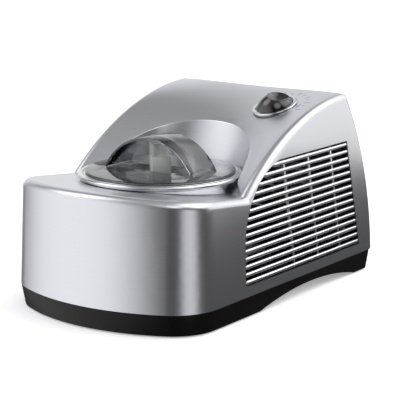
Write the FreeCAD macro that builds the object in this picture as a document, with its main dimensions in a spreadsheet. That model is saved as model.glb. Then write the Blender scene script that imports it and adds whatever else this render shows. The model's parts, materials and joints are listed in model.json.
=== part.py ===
"""Compressor ice cream maker: a low housing with a bowed front, a sloping deck and a tall hood
behind the bowl.  Millimetres, +Z up, the front towards -Y, the origin under the middle of the base."""
import FreeCAD, Part
import math
import os
import re

import Sketcher
from FreeCAD import Placement, Rotation, Vector
from fcgear import fcgear, involute

# Driving dimensions
DIMENSIONS = [
    ("shell_width", 270, "width of the housing at the seam"),
    ("shell_front", 215, "middle of the bowed front, ahead of the origin"),
    ("shell_rear", 212, "rear wall at its widest, behind the origin"),
    ("bow_sagitta", 44, "how far the front bows out over the full width"),
    ("corner_radius", 60, "front corners in plan"),
    ("draft", 0.035, "inward lean of the walls, per unit of height"),
    ("seam_height", 27, "top of the black base"),
    ("wall", 3, "thickness of the mouldings"),
    ("deck_height", 140, "deck at the bowl's axis"),
    ("deck_fall", 0.11, "fall of the deck towards the rear"),
    ("edge_radius", 9, "rounded edges of the deck and the hood"),
    ("rear_corner", 14, "rounded rear corners"),
    ("hood_radius", 340, "side profile of the hood"),
    ("hood_apex", 150, "highest point of that profile, behind the origin"),
    ("hood_height", 232, "height of that profile at the sides"),
    ("hood_sweep", 62, "how far the hood's middle lies behind its sides"),
    ("hood_crown", 7, "crown of the hood across its width"),
    ("rear_radius", 390, "profile of the rear wall"),
    ("bowl_ahead", 62, "axis of the bowl, ahead of the origin"),
    ("scoop_radius", 98, "recess in the hood round the bowl"),
    ("scoop_tilt", 14, "lean of that recess towards the rear, degrees"),
    ("scoop_behind", 19.6, "the deck's floor behind that recess, under the hood"),
    ("rim_radius", 1.5, "rounded rim of that recess"),
    ("collar_radius", 97, "outside of the ring round the bowl"),
    ("collar_top", 156, "top of that ring"),
    ("collar_bore", 84, "inside of that ring"),
    ("collar_neck", 90.4, "neck of the collar, in the deck's hole"),
    ("collar_lip", 4, "thickness of the ring over the well"),
    ("collar_edge", 5.6, "outer edge of the ring, from its top to its cone"),
    ("collar_round", 1.6, "broken edges of the ring"),
    ("collar_cone", 22, "foot of the cone under the ring, below its top"),
    ("collar_depth", 34, "foot of the neck, below the ring's top"),
    ("base_floor", 18, "underside of the base's floor"),
    ("floor_thick", 4, "thickness of that floor"),
    ("base_inset", 4, "inset of the base at its foot"),
    ("skirt_gap", 1.5, "skirt of the base above the table"),
    ("skirt_arc", 441, "arched underside of the skirt"),
    ("skirt_arch_rise", 15, "height of that arch"),
    ("skirt_arch_middle", 64, "middle of that arch, behind the origin"),
    ("foot_radius", 11, "rubber feet"),
    ("foot_height", 6, "rubber feet below their bosses"),
    ("foot_web", 1.5, "rubber over the screw's head"),
    ("boss_inset", 2, "bosses inside the radius of the feet"),
    ("foot_side", 92, "feet, from the middle plane"),
    ("foot_front", 130, "front feet, ahead of the origin"),
    ("foot_rear", 178, "rear feet, behind the origin"),
    ("grille_pitch", 9, "spacing of the louvre slats"),
    ("grille_slot", 4.6, "gap between two slats"),
    ("grille_slots", 14, "gaps in a grille"),
    ("grille_front", 79, "front end of a grille, ahead of the origin"),
    ("grille_rear", 177, "rear end of a grille at its foot, behind the origin"),
    ("grille_foot", 12, "foot of a grille above the seam"),
    ("grille_rise", 136, "height of a grille"),
    ("grille_curve", 94, "curved front end of a grille"),
    ("grille_curve_fall", 0.98, "height of that curve, as a share of its radius"),
    ("grille_curve_run", 0.8, "length of that curve, as a share of its radius"),
    ("grille_border", 3.5, "plain edge round the slots"),
    ("grille_lean", 0.16, "backward lean of the ribs"),
    ("grille_slant", 28, "how far the rear end of a grille leans in"),
    ("rib_width", 3, "upright ribs of a grille"),
    ("rib_shift", 12, "ribs moved towards the rear at their feet"),
    ("panel_width", 124, "vent panel in the rear wall"),
    ("panel_foot", 62, "foot of that panel"),
    ("panel_rise", 84, "height of that panel"),
    ("panel_margin", 12, "plain edge round its slots"),
    ("panel_depth", 40, "how far the cuts reach through the rear wall"),
    ("well_radius", 79, "inside of the freezing well"),
    ("well_wall", 1.5, "sheet of the well"),
    ("well_floor", 60, "inside bottom of the well"),
    ("seal_radius", 14, "hole in the well for the shaft's seal"),
    ("sleeve_thick", 6, "evaporator round the well"),
    ("foam_thick", 12, "insulation round the evaporator"),
    ("foam_top", 118, "top of the insulation"),
    ("bowl_gap", 1.2, "air between the bowl and the well"),
    ("bowl_wall", 1.2, "sheet of the removable bowl"),
    ("bowl_rim", 151, "rim of the removable bowl"),
    ("chimney_radius", 11, "tube in the middle of the bowl"),
    ("chimney_height", 56, "that tube above the bowl's floor"),
    ("shaft_radius", 6, "drive shaft"),
    ("shaft_square", 8.4, "square end of the shaft, across flats"),
    ("shaft_top", 136, "top of the drive shaft"),
    ("shaft_grip", 22, "length of the square end"),
    ("running_gap", 0.05, "radial clearance of a turning fit"),
    ("fit_gap", 0.3, "clearance between fixed curved pieces"),
    ("free_gap", 0.4, "clearance between pieces that lift off or turn freely"),
    ("gear_module", 1.5, "module of the gears"),
    ("pressure_angle", 20, "pressure angle of the gears, degrees"),
    ("output_teeth", 78, "gear on the drive shaft"),
    ("small_teeth", 18, "small gear of the idler"),
    ("large_teeth", 64, "large gear of the idler"),
    ("pinion_teeth", 18, "gear on the motor"),
    ("mesh_gap", 0.3, "extra centre distance of meshed gears"),
    ("gear_face", 8, "width of the gears"),
    ("gear_gap", 2, "space above and below each gear"),
    ("gear_room", 3, "space between the teeth and the gearbox walls"),
    ("gearbox_wall", 2.5, "gearbox plates"),
    ("gearbox_boss", 5, "screw bosses of the gearbox"),
    ("bush_wall", 3, "bush of the drive shaft"),
    ("pin_radius", 3, "pin of the idler gear"),
    ("motor_radius", 27, "drive motor"),
    ("motor_height", 52, "drive motor"),
    ("motor_step", 3, "reduced ends of the motor"),
    ("motor_shaft", 4, "radius of the motor's shaft"),
    ("motor_bore", 10, "depth of the shaft in the motor"),
    ("lid_radius", 89, "clear lid"),
    ("lid_thick", 2.6, "sheet of the lid"),
    ("lid_lip", 2, "lip of the lid inside the collar"),
    ("mouth_length", 96, "opening under the lid's handle, across the machine"),
    ("mouth_width", 40, "that opening from front to rear"),
    ("strap_span", 65, "half the span of the lid's handle"),
    ("strap_height", 40.5, "top of the handle above the lid"),
    ("strap_width", 48, "width of the handle's strap"),
    ("strap_thick", 3, "thickness of that strap"),
    ("hub_width", 26, "square tower of the paddle"),
    ("hub_top", 190, "top of that tower"),
    ("paddle_lift", 1.2, "paddle above the bowl's floor, chimney and shaft"),
    ("blade_thick", 5, "paddle blades"),
    ("blade_reach", 70, "tip of the paddle blades"),
    ("blade_frame", 12, "frame of the blades round their windows"),
    ("blade_below_rim", 12, "top of the blades below the bowl's rim"),
    ("knob_side", 62, "knob, from the middle plane"),
    ("knob_back", 89, "knob, behind the origin"),
    ("knob_radius", 23, "control knob"),
    ("knob_height", 16, "control knob"),
    ("finger_radius", 24, "finger recess in the knob"),
    ("finger_side", 14, "middle of that recess, from the knob's axis"),
    ("finger_height", 28.5, "middle of that recess, above the knob's foot"),
    ("finger_angle", 28, "that recess, from the machine's right towards its rear, degrees"),
    ("bezel_radius", 28.5, "ring under the knob"),
    ("bezel_lap", 3, "how far that ring laps over the hood"),
    ("bezel_thick", 1.6, "thickness of that ring"),
    ("bezel_seat", 1, "underside of that ring above the curved hood, at the knob's axis"),
    ("bezel_depth", 5, "depth of the seat under the knob"),
    ("spindle_radius", 3, "spindle of the switch"),
    ("neck_wall", 2.4, "threaded neck of the switch"),
    ("switch_radius", 20, "timer switch"),
    ("switch_height", 13, "timer switch"),
    ("compressor_radius", 50, "compressor"),
    ("compressor_height", 111, "compressor with its dome"),
    ("compressor_dome", 22, "dome of the compressor"),
    ("compressor_side", 72, "compressor, from the middle plane"),
    ("compressor_back", 138, "compressor, behind the origin"),
    ("sole_thick", 3, "mounting plate of the compressor"),
    ("sole_inset", 2, "that plate inside the compressor's radius"),
    ("grommet_height", 8, "rubber mounts of the compressor"),
    ("grommet_radius", 7, "rubber mounts of the compressor"),
    ("fan_back", 105, "fan axis, behind the origin"),
    ("fan_height", 84, "fan axis above the table"),
    ("fan_radius", 42, "fan blades"),
    ("fan_blades", 5, "number of fan blades"),
    ("fan_blade_thick", 1.6, "fan blades"),
    ("fan_width", 9, "fan along its axis"),
    ("fan_hub", 10, "hub of the fan"),
    ("fan_shaft", 3, "fan shaft"),
    ("fan_motor_radius", 18, "fan motor"),
    ("fan_motor_length", 30, "fan motor, behind the fan"),
    ("shroud_gap", 3, "air between the shroud, the fan and the condenser"),
    ("shroud_edge", 8, "shroud above the fan"),
    ("condenser_inner", 94, "inner face of the condenser, from the middle plane"),
    ("condenser_thick", 24, "condenser across the machine"),
    ("condenser_length", 112, "condenser from front to rear"),
    ("condenser_height", 100, "condenser"),
    ("condenser_rail", 5, "rails above and below the fins"),
    ("fin_pitch", 5.6, "spacing of the condenser's fins"),
    ("fin_thick", 1.2, "thickness of those fins"),
    ("tube_radius", 4, "refrigerant tubes"),
    ("drier_radius", 9, "filter drier"),
    ("drier_length", 74, "filter drier with its necks"),
    ("drier_side", 112, "filter drier, from the middle plane"),
    ("drier_back", -6, "front end of the filter drier, behind the origin"),
    ("box_width", 44, "control box across the machine"),
    ("box_length", 56, "control box from front to rear"),
    ("box_height", 26, "control box"),
    ("box_side", 78, "inner side of the control box, from the middle plane"),
    ("terminal_width", 15, "terminal block across the machine"),
    ("terminal_length", 28, "terminal block from front to rear"),
    ("terminal_height", 9, "terminal block"),
    ("gland_bore", 4, "cord gland, bore radius"),
    ("gland_wall", 3, "wall and flange of the gland"),
    ("gland_inside", 10, "gland inside the rear wall"),
    ("gland_round", 1, "broken edge of the gland"),
    ("gland_side", 95, "cord gland, from the middle plane"),
    ("gland_height", 48, "cord gland above the table"),
    ("screw_radius", 2, "screws"),
    ("head_height", 2.4, "screw heads"),
    ("under_run", 7, "cutting forms past what they cut, below and above it"),
    ("over_run", 30, "cutting forms past the walls and the hood"),
]
doc = FreeCAD.newDocument("IceCreamMaker")
sizes = doc.addObject("Spreadsheet::Sheet", "Sizes")
for row, (alias, number, note) in enumerate(DIMENSIONS, start=1):
    sizes.set(f"A{row}", note)
    sizes.set(f"B{row}", str(number))
    sizes.setAlias(f"B{row}", alias)
doc.recompute()
ALIASES = {alias for alias, _, _ in DIMENSIONS}

# Values that several pieces share, written as expressions of the driving dimensions
HALF = "(shell_width / 2)"
FLOOR = "(base_floor + floor_thick)"
WELL_UNDER = "(well_floor - well_wall)"
BOWL_OUT = "(well_radius - bowl_gap)"
BOWL_FLOOR = "(well_floor + bowl_gap)"
HOOD_CENTRE = "(hood_height - hood_radius)"
LOWER_GEARS = f"({FLOOR} + gearbox_wall + gear_gap)"
UPPER_GEARS = f"({LOWER_GEARS} + gear_face + gear_gap)"
COVER_UNDER = f"({UPPER_GEARS} + gear_face + gear_gap)"
COVER_TOP = f"({COVER_UNDER} + gearbox_wall)"
IDLER_Y = "(gear_module * (output_teeth + small_teeth) / 2 + mesh_gap - bowl_ahead)"
MOTOR_Y = f"({IDLER_Y} + gear_module * (large_teeth + pinion_teeth) / 2 + mesh_gap)"
LID_UNDER = "(collar_top + free_gap)"
LID_TOP = f"({LID_UNDER} + lid_thick)"

# Stations of the hood's sections as shares of half the width, the outer ones past the walls
STATIONS = (-1.1, -0.55, 0, 0.55, 1.1)
# Feet of a grille's ribs as shares of its length
RIB_SHARES = (0.36, 0.57, 0.77)
# An edge whose middle is this close to a surface lies on it
ON_SURFACE = 0.5

PLANES = {
    "XY_Plane": Rotation(),
    "XZ_Plane": Rotation(Vector(1, 0, 0), 90),
    "YZ_Plane": Rotation(Vector(1, 1, 1), 120),
}
NODES = []


def bound(text):
    """An expression with each driving dimension turned into its cell."""
    def cell(word):
        """The cell of a driving dimension, and any other word as it is."""
        return ("Sizes." if word.group() in ALIASES else "") + word.group()

    return re.sub(r"[a-z_]+", cell, text)


def amount(text):
    """The value of an expression now."""
    return float(sizes.evalExpression(bound(text)))


def bind(thing, **properties):
    """Bind properties of an object to expressions; a double underscore stands for a dot."""
    for name, text in properties.items():
        thing.setExpression(name.replace("__", "."), bound(text))
    return thing


def node(thing, label):
    """Make an object one of the pieces that are written."""
    thing.Label = label
    NODES.append(thing)
    return thing


def new_sketch(owner, plane, lift):
    """An empty sketch on one of the main planes, lifted along the plane's normal."""
    if owner is None:
        sketch = doc.addObject("Sketcher::SketchObject", "Sketch")
        sketch.Placement = Placement(Vector(), PLANES[plane])
        axis = {"XY_Plane": "z", "XZ_Plane": "y", "YZ_Plane": "x"}[plane]
        bind(sketch, **{"Placement__Base__" + axis: lift})
        return sketch
    sketch = owner.newObject("Sketcher::SketchObject", "Sketch")
    origin = [item for item in owner.Origin.OriginFeatures if item.Role == plane][0]
    sketch.AttachmentSupport = [(origin, "")]
    sketch.MapMode = "FlatFace"
    bind(sketch, AttachmentOffset__Base__z=lift)
    return sketch


def pin_point(sketch, place, across, up):
    """Hold a point of a sketch at two expressions."""
    for kind, text in (("DistanceX", across), ("DistanceY", up)):
        rule = sketch.addConstraint(Sketcher.Constraint(kind, -1, 1, place[0], place[1], amount(text)))
        sketch.setExpression(f"Constraints[{rule}]", bound(text))


def outline(owner, plane, path, lift="0"):
    """A closed sketch.  Each entry of path is a point (across, up), or a point and the radius of the
    arc to the next point, which turns left if the radius starts without a minus sign."""
    sketch = new_sketch(owner, plane, lift)
    seats = []
    for item, after in zip(path, path[1:] + path[:1]):
        start = Vector(amount(item[0]), amount(item[1]), 0)
        end = Vector(amount(after[0]), amount(after[1]), 0)
        if len(item) == 2:
            index = sketch.addGeometry(Part.LineSegment(start, end))
            seats.append(((index, 1), (index, 2)))
            continue
        left = not item[2].startswith("-")
        radius_text = item[2].lstrip("-")
        radius = amount(radius_text)
        chord = end - start
        rise = math.sqrt(max(radius**2 - (chord.Length / 2) ** 2, 0))
        side = Vector(-chord.y, chord.x, 0).normalize() * (rise if left else -rise)
        centre = (start + end) * 0.5 + side
        first, last = (start, end) if left else (end, start)
        angles = [math.atan2(point.y - centre.y, point.x - centre.x) for point in (first, last)]
        if angles[1] < angles[0]:
            angles[1] += 2 * math.pi
        circle = Part.Circle(centre, Vector(0, 0, 1), radius)
        index = sketch.addGeometry(Part.ArcOfCircle(circle, angles[0], angles[1]))
        rule = sketch.addConstraint(Sketcher.Constraint("Radius", index, radius))
        sketch.setExpression(f"Constraints[{rule}]", bound(radius_text))
        seats.append(((index, 1), (index, 2)) if left else ((index, 2), (index, 1)))
    for item, seat, before in zip(path, seats, seats[-1:] + seats[:-1]):
        sketch.addConstraint(Sketcher.Constraint("Coincident", *before[1], *seat[0]))
        pin_point(sketch, seat[0], item[0], item[1])
    return sketch


def circles(owner, plane, rounds, lift="0"):
    """A sketch of circles, each given as (across, up, radius)."""
    sketch = new_sketch(owner, plane, lift)
    for across, up, radius in rounds:
        middle = Vector(amount(across), amount(up), 0)
        index = sketch.addGeometry(Part.Circle(middle, Vector(0, 0, 1), amount(radius)))
        pin_point(sketch, (index, 3), across, up)
        rule = sketch.addConstraint(Sketcher.Constraint("Radius", index, amount(radius)))
        sketch.setExpression(f"Constraints[{rule}]", bound(radius))
    return sketch


def box_path(x0, y0, x1, y1):
    """The four corners of a rectangle, for an outline."""
    return [(x0, y0), (x1, y0), (x1, y1), (x0, y1)]


def place(thing, x, y, z, turn=None):
    """Bind an object's place to expressions, with a rotation if it isn't upright."""
    thing.Placement = Placement(Vector(), turn or Rotation())
    return bind(thing, Placement__Base__x=x, Placement__Base__y=y, Placement__Base__z=z)


def turned(path, x="0", y="0", z="0", turn=None):
    """A body turned about its own axis; path holds (radius, height) points."""
    body = doc.addObject("PartDesign::Body", "Turned")
    profile = outline(body, "XZ_Plane", path)
    lathe = body.newObject("PartDesign::Revolution", "Turn")
    lathe.Profile = profile
    lathe.ReferenceAxis = (profile, ["V_Axis"])
    lathe.Angle = 360
    return place(body, x, y, z, turn)


def padded(sketch_of, height, x="0", y="0", z="0"):
    """A body padded from the sketch that sketch_of draws in it."""
    body = doc.addObject("PartDesign::Body", "Padded")
    add_pad(body, sketch_of, height)
    return place(body, x, y, z)


def add_pad(body, sketch_of, height):
    """Pad a further sketch of a body, along the normal of its plane."""
    pad = body.newObject("PartDesign::Pad", "Pad")
    pad.Profile = sketch_of(body)
    bind(pad, Length=height)
    return pad


def pocket(body, sketch_of, depth, forward=False):
    """Cut a sketch into a body, against the normal of its plane, or along it if forward."""
    hollow = body.newObject("PartDesign::Pocket", "Pocket")
    hollow.Profile = sketch_of(body)
    hollow.Reversed = forward
    bind(hollow, Length=depth)
    return hollow


def polar(body, feature, count):
    """Repeat a feature about the body's upright axis."""
    pattern = body.newObject("PartDesign::PolarPattern", "Pattern")
    pattern.Originals = [feature]
    axis = [item for item in body.Origin.OriginFeatures if item.Role == "Z_Axis"][0]
    pattern.Axis = (axis, [""])
    pattern.Angle = 360
    pattern.Occurrences = count
    body.Tip = pattern
    return pattern


def extruded(sketch, length, both_ways=False):
    """A free sketch extruded along its normal."""
    solid = doc.addObject("Part::Extrusion", "Extrusion")
    solid.Base = sketch
    solid.DirMode = "Normal"
    solid.Solid = True
    solid.Symmetric = both_ways
    bind(solid, LengthFwd=length)
    return solid


def lofted(sketches):
    """A solid through closed sketches."""
    solid = doc.addObject("Part::Loft", "Loft")
    solid.Sections = sketches
    solid.Solid = True
    return solid


def cut(base, *tools):
    """Tools cut out of a base, one after the other."""
    for tool in tools:
        result = doc.addObject("Part::Cut", "Cut")
        result.Base = base
        result.Tool = tool
        result.Refine = False
        base = result
    return base


def fused(*shapes):
    """Solids joined into one."""
    result = doc.addObject("Part::MultiFuse", "Fuse")
    result.Shapes = list(shapes)
    result.Refine = True
    return result


def common(base, *tools):
    """What several solids share."""
    for tool in tools:
        result = doc.addObject("Part::Common", "Common")
        result.Base = base
        result.Tool = tool
        base = result
    return base


def mirrored(source):
    """A copy on the other side of the middle plane."""
    copy = doc.addObject("Part::Mirroring", "Mirror")
    copy.Source = source
    copy.Normal = Vector(1, 0, 0)
    return copy


def grouped(*shapes):
    """Separate solids in one piece's node."""
    group = doc.addObject("Part::Compound", "Group")
    group.Links = list(shapes)
    return group


def cylinder(radius, height, x="0", y="0", z="0", turn=None):
    """A cylinder, upright unless a rotation is given."""
    solid = doc.addObject("Part::Cylinder", "Cylinder")
    bind(solid, Radius=radius, Height=height)
    return place(solid, x, y, z, turn)


def block(length, width, height, x="0", y="0", z="0"):
    """A box whose lowest corner is at x, y, z."""
    solid = doc.addObject("Part::Box", "Block")
    bind(solid, Length=length, Width=width, Height=height)
    return place(solid, x, y, z)


def rounded(base, radius, wanted):
    """Fillet the edges of a solid that wanted accepts."""
    doc.recompute()
    fillet = doc.addObject("Part::Fillet", "Fillet")
    fillet.Base = base
    size = amount(radius)
    fillet.Edges = [(i, size, size) for i, edge in enumerate(base.Shape.Edges, start=1) if wanted(edge)]
    return fillet


def middle_of(edge):
    """The point half-way along an edge."""
    return edge.valueAt((edge.FirstParameter + edge.LastParameter) / 2)


# Main outlines
def plan(inset, lift, back="(shell_rear + rear_corner)"):
    """The outline of the machine from above: a bowed front, round corners, straight sides and rear."""
    side = f"({HALF} - ({inset}))"
    front = f"(shell_front - ({inset}))"
    bow = f"(({side} ^ 2 + bow_sagitta ^ 2) / (2 * bow_sagitta))"
    corner = f"(corner_radius - ({inset}))"
    corner_x = f"({side} - {corner})"
    corner_y = f"({bow} - {front} - sqrt(({bow} - {corner}) ^ 2 - {corner_x} ^ 2))"
    reach = f"({bow} / ({bow} - {corner}))"
    join_x = f"({corner_x} * {reach})"
    join_y = f"({bow} - {front} + ({corner_y} - {bow} + {front}) * {reach})"
    turn = f"(rear_corner - ({inset}))"
    rear = f"({back} - ({inset}))"
    return outline(None, "XY_Plane", [
        ("-" + join_x, join_y, bow),
        (join_x, join_y, corner),
        (side, corner_y),
        (side, f"{rear} - {turn}", turn),
        (f"{side} - {turn}", rear),
        (f"{turn} - {side}", rear, turn),
        ("-" + side, f"{rear} - {turn}"),
        ("-" + side, corner_y, corner),
    ], lift)


def walls(inset, low, high):
    """The leaning walls between two heights, all round the plan outline."""
    return lofted([plan(f"{inset} + draft * ({height} - seam_height)", height) for height in (low, high)])


def hood_form(inset):
    """The hood's top as a solid: one arc at each station across the width, set back in the middle."""
    radius = f"(hood_radius - ({inset}))"
    low, back = "(seam_height - under_run)", "(shell_rear + over_run)"
    sections = []
    for station in STATIONS:
        share = round(1 - station**2, 6)
        centre_y = f"(hood_apex + hood_sweep * {share})"
        centre_z = f"({HOOD_CENTRE} + hood_crown * {share})"
        front = f"({centre_y} - sqrt({radius} ^ 2 - ({low} - {centre_z}) ^ 2))"
        top = f"({centre_z} + sqrt({radius} ^ 2 - ({back} - {centre_y}) ^ 2))"
        sections.append(outline(None, "YZ_Plane", [
            (front, low, "-" + radius),
            (back, top),
            (back, low),
        ], f"{HALF} * {station}"))
    return lofted(sections)


def rear_form(inset):
    """Everything ahead of the rear wall's arc."""
    radius = f"(rear_radius - ({inset}))"
    centre_y = "(shell_rear - rear_radius)"
    low, high = "(seam_height - under_run)", "(hood_height + over_run)"
    rear_low = f"({centre_y} + sqrt({radius} ^ 2 - ({low} - seam_height) ^ 2))"
    rear_high = f"({centre_y} + sqrt({radius} ^ 2 - ({high} - seam_height) ^ 2))"
    front = "-(shell_front + over_run)"
    profile = outline(None, "YZ_Plane", [
        (front, low),
        (rear_low, low, radius),
        (rear_high, high),
        (front, high),
    ])
    return extruded(profile, "shell_width + over_run", both_ways=True)


def deck_level(y, inset="0"):
    """Height of the deck at a place from front to rear."""
    return f"(deck_height - ({inset}) - deck_fall * ({y} + bowl_ahead))"


def deck_form(inset, rear):
    """Everything under the sloping deck, ahead of a plane."""
    front, low = "-(shell_front + over_run)", "(seam_height - under_run)"
    profile = outline(None, "YZ_Plane", [
        (front, low),
        (rear, low),
        (rear, deck_level(rear, inset)),
        (front, deck_level(front, inset)),
    ])
    return extruded(profile, "shell_width + over_run", both_ways=True)


def scoop_lean():
    """The lean of the recess in the hood."""
    return Rotation(Vector(1, 0, 0), -amount("scoop_tilt"))


def scoop_form(radius):
    """The recess in the hood round the bowl: a leaning cylinder about the bowl's axis at the deck."""
    lean = scoop_lean()
    start = lean.multVec(Vector(0, 0, -amount("deck_height")))
    y, z = f"{start.y} - bowl_ahead", f"{start.z} + deck_height"
    return cylinder(radius, "3 * deck_height", "0", y, z, lean)


def housing_form(inset, edge, low, rim):
    """The housing as a full solid: the front and the scoop's floor under the deck, and the hood with
    a rounded rim round its scoop."""
    high = "(hood_height + over_run)"
    behind_scoop = "(scoop_radius + scoop_behind - bowl_ahead)"
    front = common(walls(inset, low, high), deck_form(inset, behind_scoop))
    limit = amount(behind_scoop) - ON_SURFACE
    bottom = amount(low) + ON_SURFACE
    scoop_size = amount(f"scoop_radius + {inset}")

    def above_deck(point):
        """How far a point lies above the deck."""
        return point.z - amount(deck_level(str(point.y), inset))

    def deck_edge(item):
        """An edge round the top of the front, not the one behind the scoop."""
        point = middle_of(item)
        return abs(above_deck(point)) < ON_SURFACE and point.y < limit

    def hood_edge(item):
        """An edge of the hood or of its rear corners, not of its underside."""
        return middle_of(item).z > bottom

    def rim_edge(item):
        """An edge of the scoop above the deck."""
        point = middle_of(item)
        inside = point - Vector(0, -amount("bowl_ahead"), amount("deck_height"))
        across = scoop_lean().inverted().multVec(inside)
        on_scoop = abs(math.hypot(across.x, across.y) - scoop_size) < ON_SURFACE
        return on_scoop and above_deck(point) > ON_SURFACE

    hood = common(walls(inset, low, high), hood_form(inset), rear_form(inset))
    scooped = cut(rounded(hood, edge, hood_edge), scoop_form(f"scoop_radius + {inset}"))
    return fused(rounded(front, edge, deck_edge), rounded(scooped, rim, rim_edge))


def hood_height_at(x, y):
    """Height of the hood's top over a point, as it is now."""
    share = 1 - (x / amount(HALF)) ** 2
    centre_y = amount("hood_apex") + amount("hood_sweep") * share
    centre_z = amount(HOOD_CENTRE) + amount("hood_crown") * share
    return centre_z + math.sqrt(amount("hood_radius") ** 2 - (y - centre_y) ** 2)


def knob_place():
    """The knob's seat: a point on the hood, with Z along the hood's normal there."""
    x, y, step = amount("knob_side"), amount("knob_back"), 0.5
    lean_x = (hood_height_at(x + step, y) - hood_height_at(x - step, y)) / (2 * step)
    lean_y = (hood_height_at(x, y + step) - hood_height_at(x, y - step)) / (2 * step)
    normal = Vector(-lean_x, -lean_y, 1)
    return Placement(Vector(x, y, hood_height_at(x, y)), Rotation(Vector(0, 0, 1), normal))


def on_hood(thing, lift="0"):
    """Seat a piece that was made about its own axis on the knob's axis."""
    for axis in "xyz":
        thing.setExpression("Placement.Base." + axis, None)
    thing.Placement = knob_place().multiply(Placement(Vector(0, 0, amount(lift)), Rotation()))
    return thing


# Housing
doc.recompute()
SEAM = "seam_height"
outer = housing_form("0", "edge_radius", SEAM, "rim_radius")
inner = housing_form("wall", "edge_radius - wall", f"({SEAM} - wall)", "rim_radius")
skin = cut(outer, inner)


def grille_outline(inset):
    """The louvre field, in the side wall's own plane: across is towards the rear, up from the seam."""
    front = f"-(grille_front - ({inset}))"
    foot, top = f"(grille_foot + ({inset}))", f"(grille_foot + grille_rise - ({inset}))"
    curve = f"(grille_curve - ({inset}))"
    straight = f"({top} - {curve} * grille_curve_fall)"
    tip = f"({front} + {curve} * grille_curve_run)"
    return outline(None, "XY_Plane", [
        (front, foot),
        (f"(grille_rear - ({inset}))", foot),
        (f"(grille_rear - ({inset}) - grille_slant)", top),
        (tip, top, curve),
        (front, straight),
    ])


def in_side_wall(thing):
    """Move a piece from its own plane into the leaning right side wall."""
    tilt = Rotation(Vector(0, 1, 0), -math.degrees(math.atan(amount("draft"))))
    thing.Placement = Placement(Vector(), tilt.multiply(Rotation(Vector(1, 1, 1), 120)))
    return bind(thing, Placement__Base__x=HALF, Placement__Base__z=SEAM)


def grille_slots():
    """The gaps between the slats, cut short by the upright ribs and the border."""
    length = "(grille_rear + grille_front)"
    start = "(grille_foot + grille_pitch - grille_slot / 2)"
    rises = [f"{start} + {i} * grille_pitch" for i in range(int(amount("grille_slots")))]
    gaps = grouped(*[
        block(length, "grille_slot", "3 * wall", "-grille_front", rise, "-2 * wall") for rise in rises
    ])
    ribs = []
    for share in RIB_SHARES:
        foot = f"({length} * {share} - grille_front + rib_shift)"
        top = f"({foot} - grille_lean * grille_rise)"
        ribs.append(extruded(outline(None, "XY_Plane", [
            (foot, "grille_foot"),
            (f"{foot} + rib_width", "grille_foot"),
            (f"{top} + rib_width", "grille_foot + grille_rise"),
            (top, "grille_foot + grille_rise"),
        ], "-3 * wall"), "5 * wall"))
    field = extruded(grille_outline("grille_border"), "5 * wall", both_ways=True)
    return cut(common(field, gaps), *ribs)


plate = extruded(grille_outline("0"), "-wall")
window = in_side_wall(extruded(grille_outline("0"), "4 * wall", both_ways=True))
right_grille = node(in_side_wall(cut(plate, grille_slots())), "side_grille_right")
node(mirrored(right_grille), "side_grille_left")

# Rear vent panel, a curved plate cut from the rear wall
PANEL_FRONT = "(shell_rear - panel_depth)"


def rear_block(inset):
    """A box through the rear wall, where the vent panel sits."""
    return block(
        f"panel_width - 2 * ({inset})", "2 * panel_depth", f"panel_rise - 2 * ({inset})",
        f"{inset} - panel_width / 2", PANEL_FRONT, f"panel_foot + {inset}",
    )


panel_slots = grouped(*[
    block(
        "panel_width - 2 * panel_margin", "2 * panel_depth", "grille_slot",
        "panel_margin - panel_width / 2", PANEL_FRONT, f"panel_foot + panel_margin + {i} * grille_pitch",
    )
    for i in range(int(amount("(panel_rise - 2 * panel_margin) / grille_pitch")) + 1)
])
node(cut(common(skin, rear_block("free_gap")), panel_slots), "rear_vent_panel")

# Collar round the bowl, which also shapes the hole in the deck
BOWL_Y = "-bowl_ahead"
COLLAR_UNDER = "(collar_top - collar_edge)"
NECK_TOP = "(collar_top - collar_cone)"
NECK_LOW = "(collar_top - collar_depth)"


def collar_outside(gap):
    """The collar's outer face from its neck up to its edge."""
    return [
        (f"collar_neck + {gap}", NECK_LOW),
        (f"collar_neck + {gap}", NECK_TOP),
        (f"collar_radius - collar_round + {gap}", f"{COLLAR_UNDER} - {gap}"),
        (f"collar_radius + {gap}", f"{COLLAR_UNDER} + collar_round - {gap}"),
    ]


deck_hole = turned([("0", NECK_LOW)] + collar_outside("free_gap") + [
    ("collar_radius + free_gap", "collar_top + free_gap"),
    ("0", "collar_top + free_gap"),
], y=BOWL_Y)
node(turned(collar_outside("0") + [
    ("collar_radius", "collar_top - collar_round"),
    ("collar_radius - collar_round", "collar_top"),
    ("collar_bore", "collar_top"),
    ("collar_bore", "collar_top - collar_lip"),
    ("collar_neck - wall", "collar_top - collar_lip"),
    ("collar_neck - wall", NECK_LOW),
], y=BOWL_Y), "bowl_collar")

# Housing and the cord's way out of it
GLAND_TUBE = "(gland_bore + gland_wall)"
backward = Rotation(Vector(1, 0, 0), -90)
KNOB_HOLE = "(bezel_radius - bezel_lap + free_gap)"
knob_hole = on_hood(cylinder(KNOB_HOLE, "2 * (bezel_depth + under_run)"), "-(bezel_depth + under_run)")
gland_hole = cylinder(
    f"{GLAND_TUBE} + free_gap", "2 * panel_depth", "gland_side", PANEL_FRONT, "gland_height", backward,
)
openings = [deck_hole, window, mirrored(window), rear_block("0"), knob_hole, gland_hole]
node(cut(skin, *openings), "housing")
node(turned([
    ("gland_bore", "0"),
    (GLAND_TUBE, "0"),
    (GLAND_TUBE, "gland_inside + free_gap"),
    ("gland_bore + 2 * gland_wall", "gland_inside + free_gap"),
    ("gland_bore + 2 * gland_wall", "gland_inside + gland_wall - gland_round"),
    ("gland_bore + 2 * gland_wall - gland_round", "gland_inside + gland_wall"),
    ("gland_bore", "gland_inside + gland_wall"),
], "gland_side", "shell_rear - gland_inside", "gland_height", backward), "cord_gland")

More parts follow.
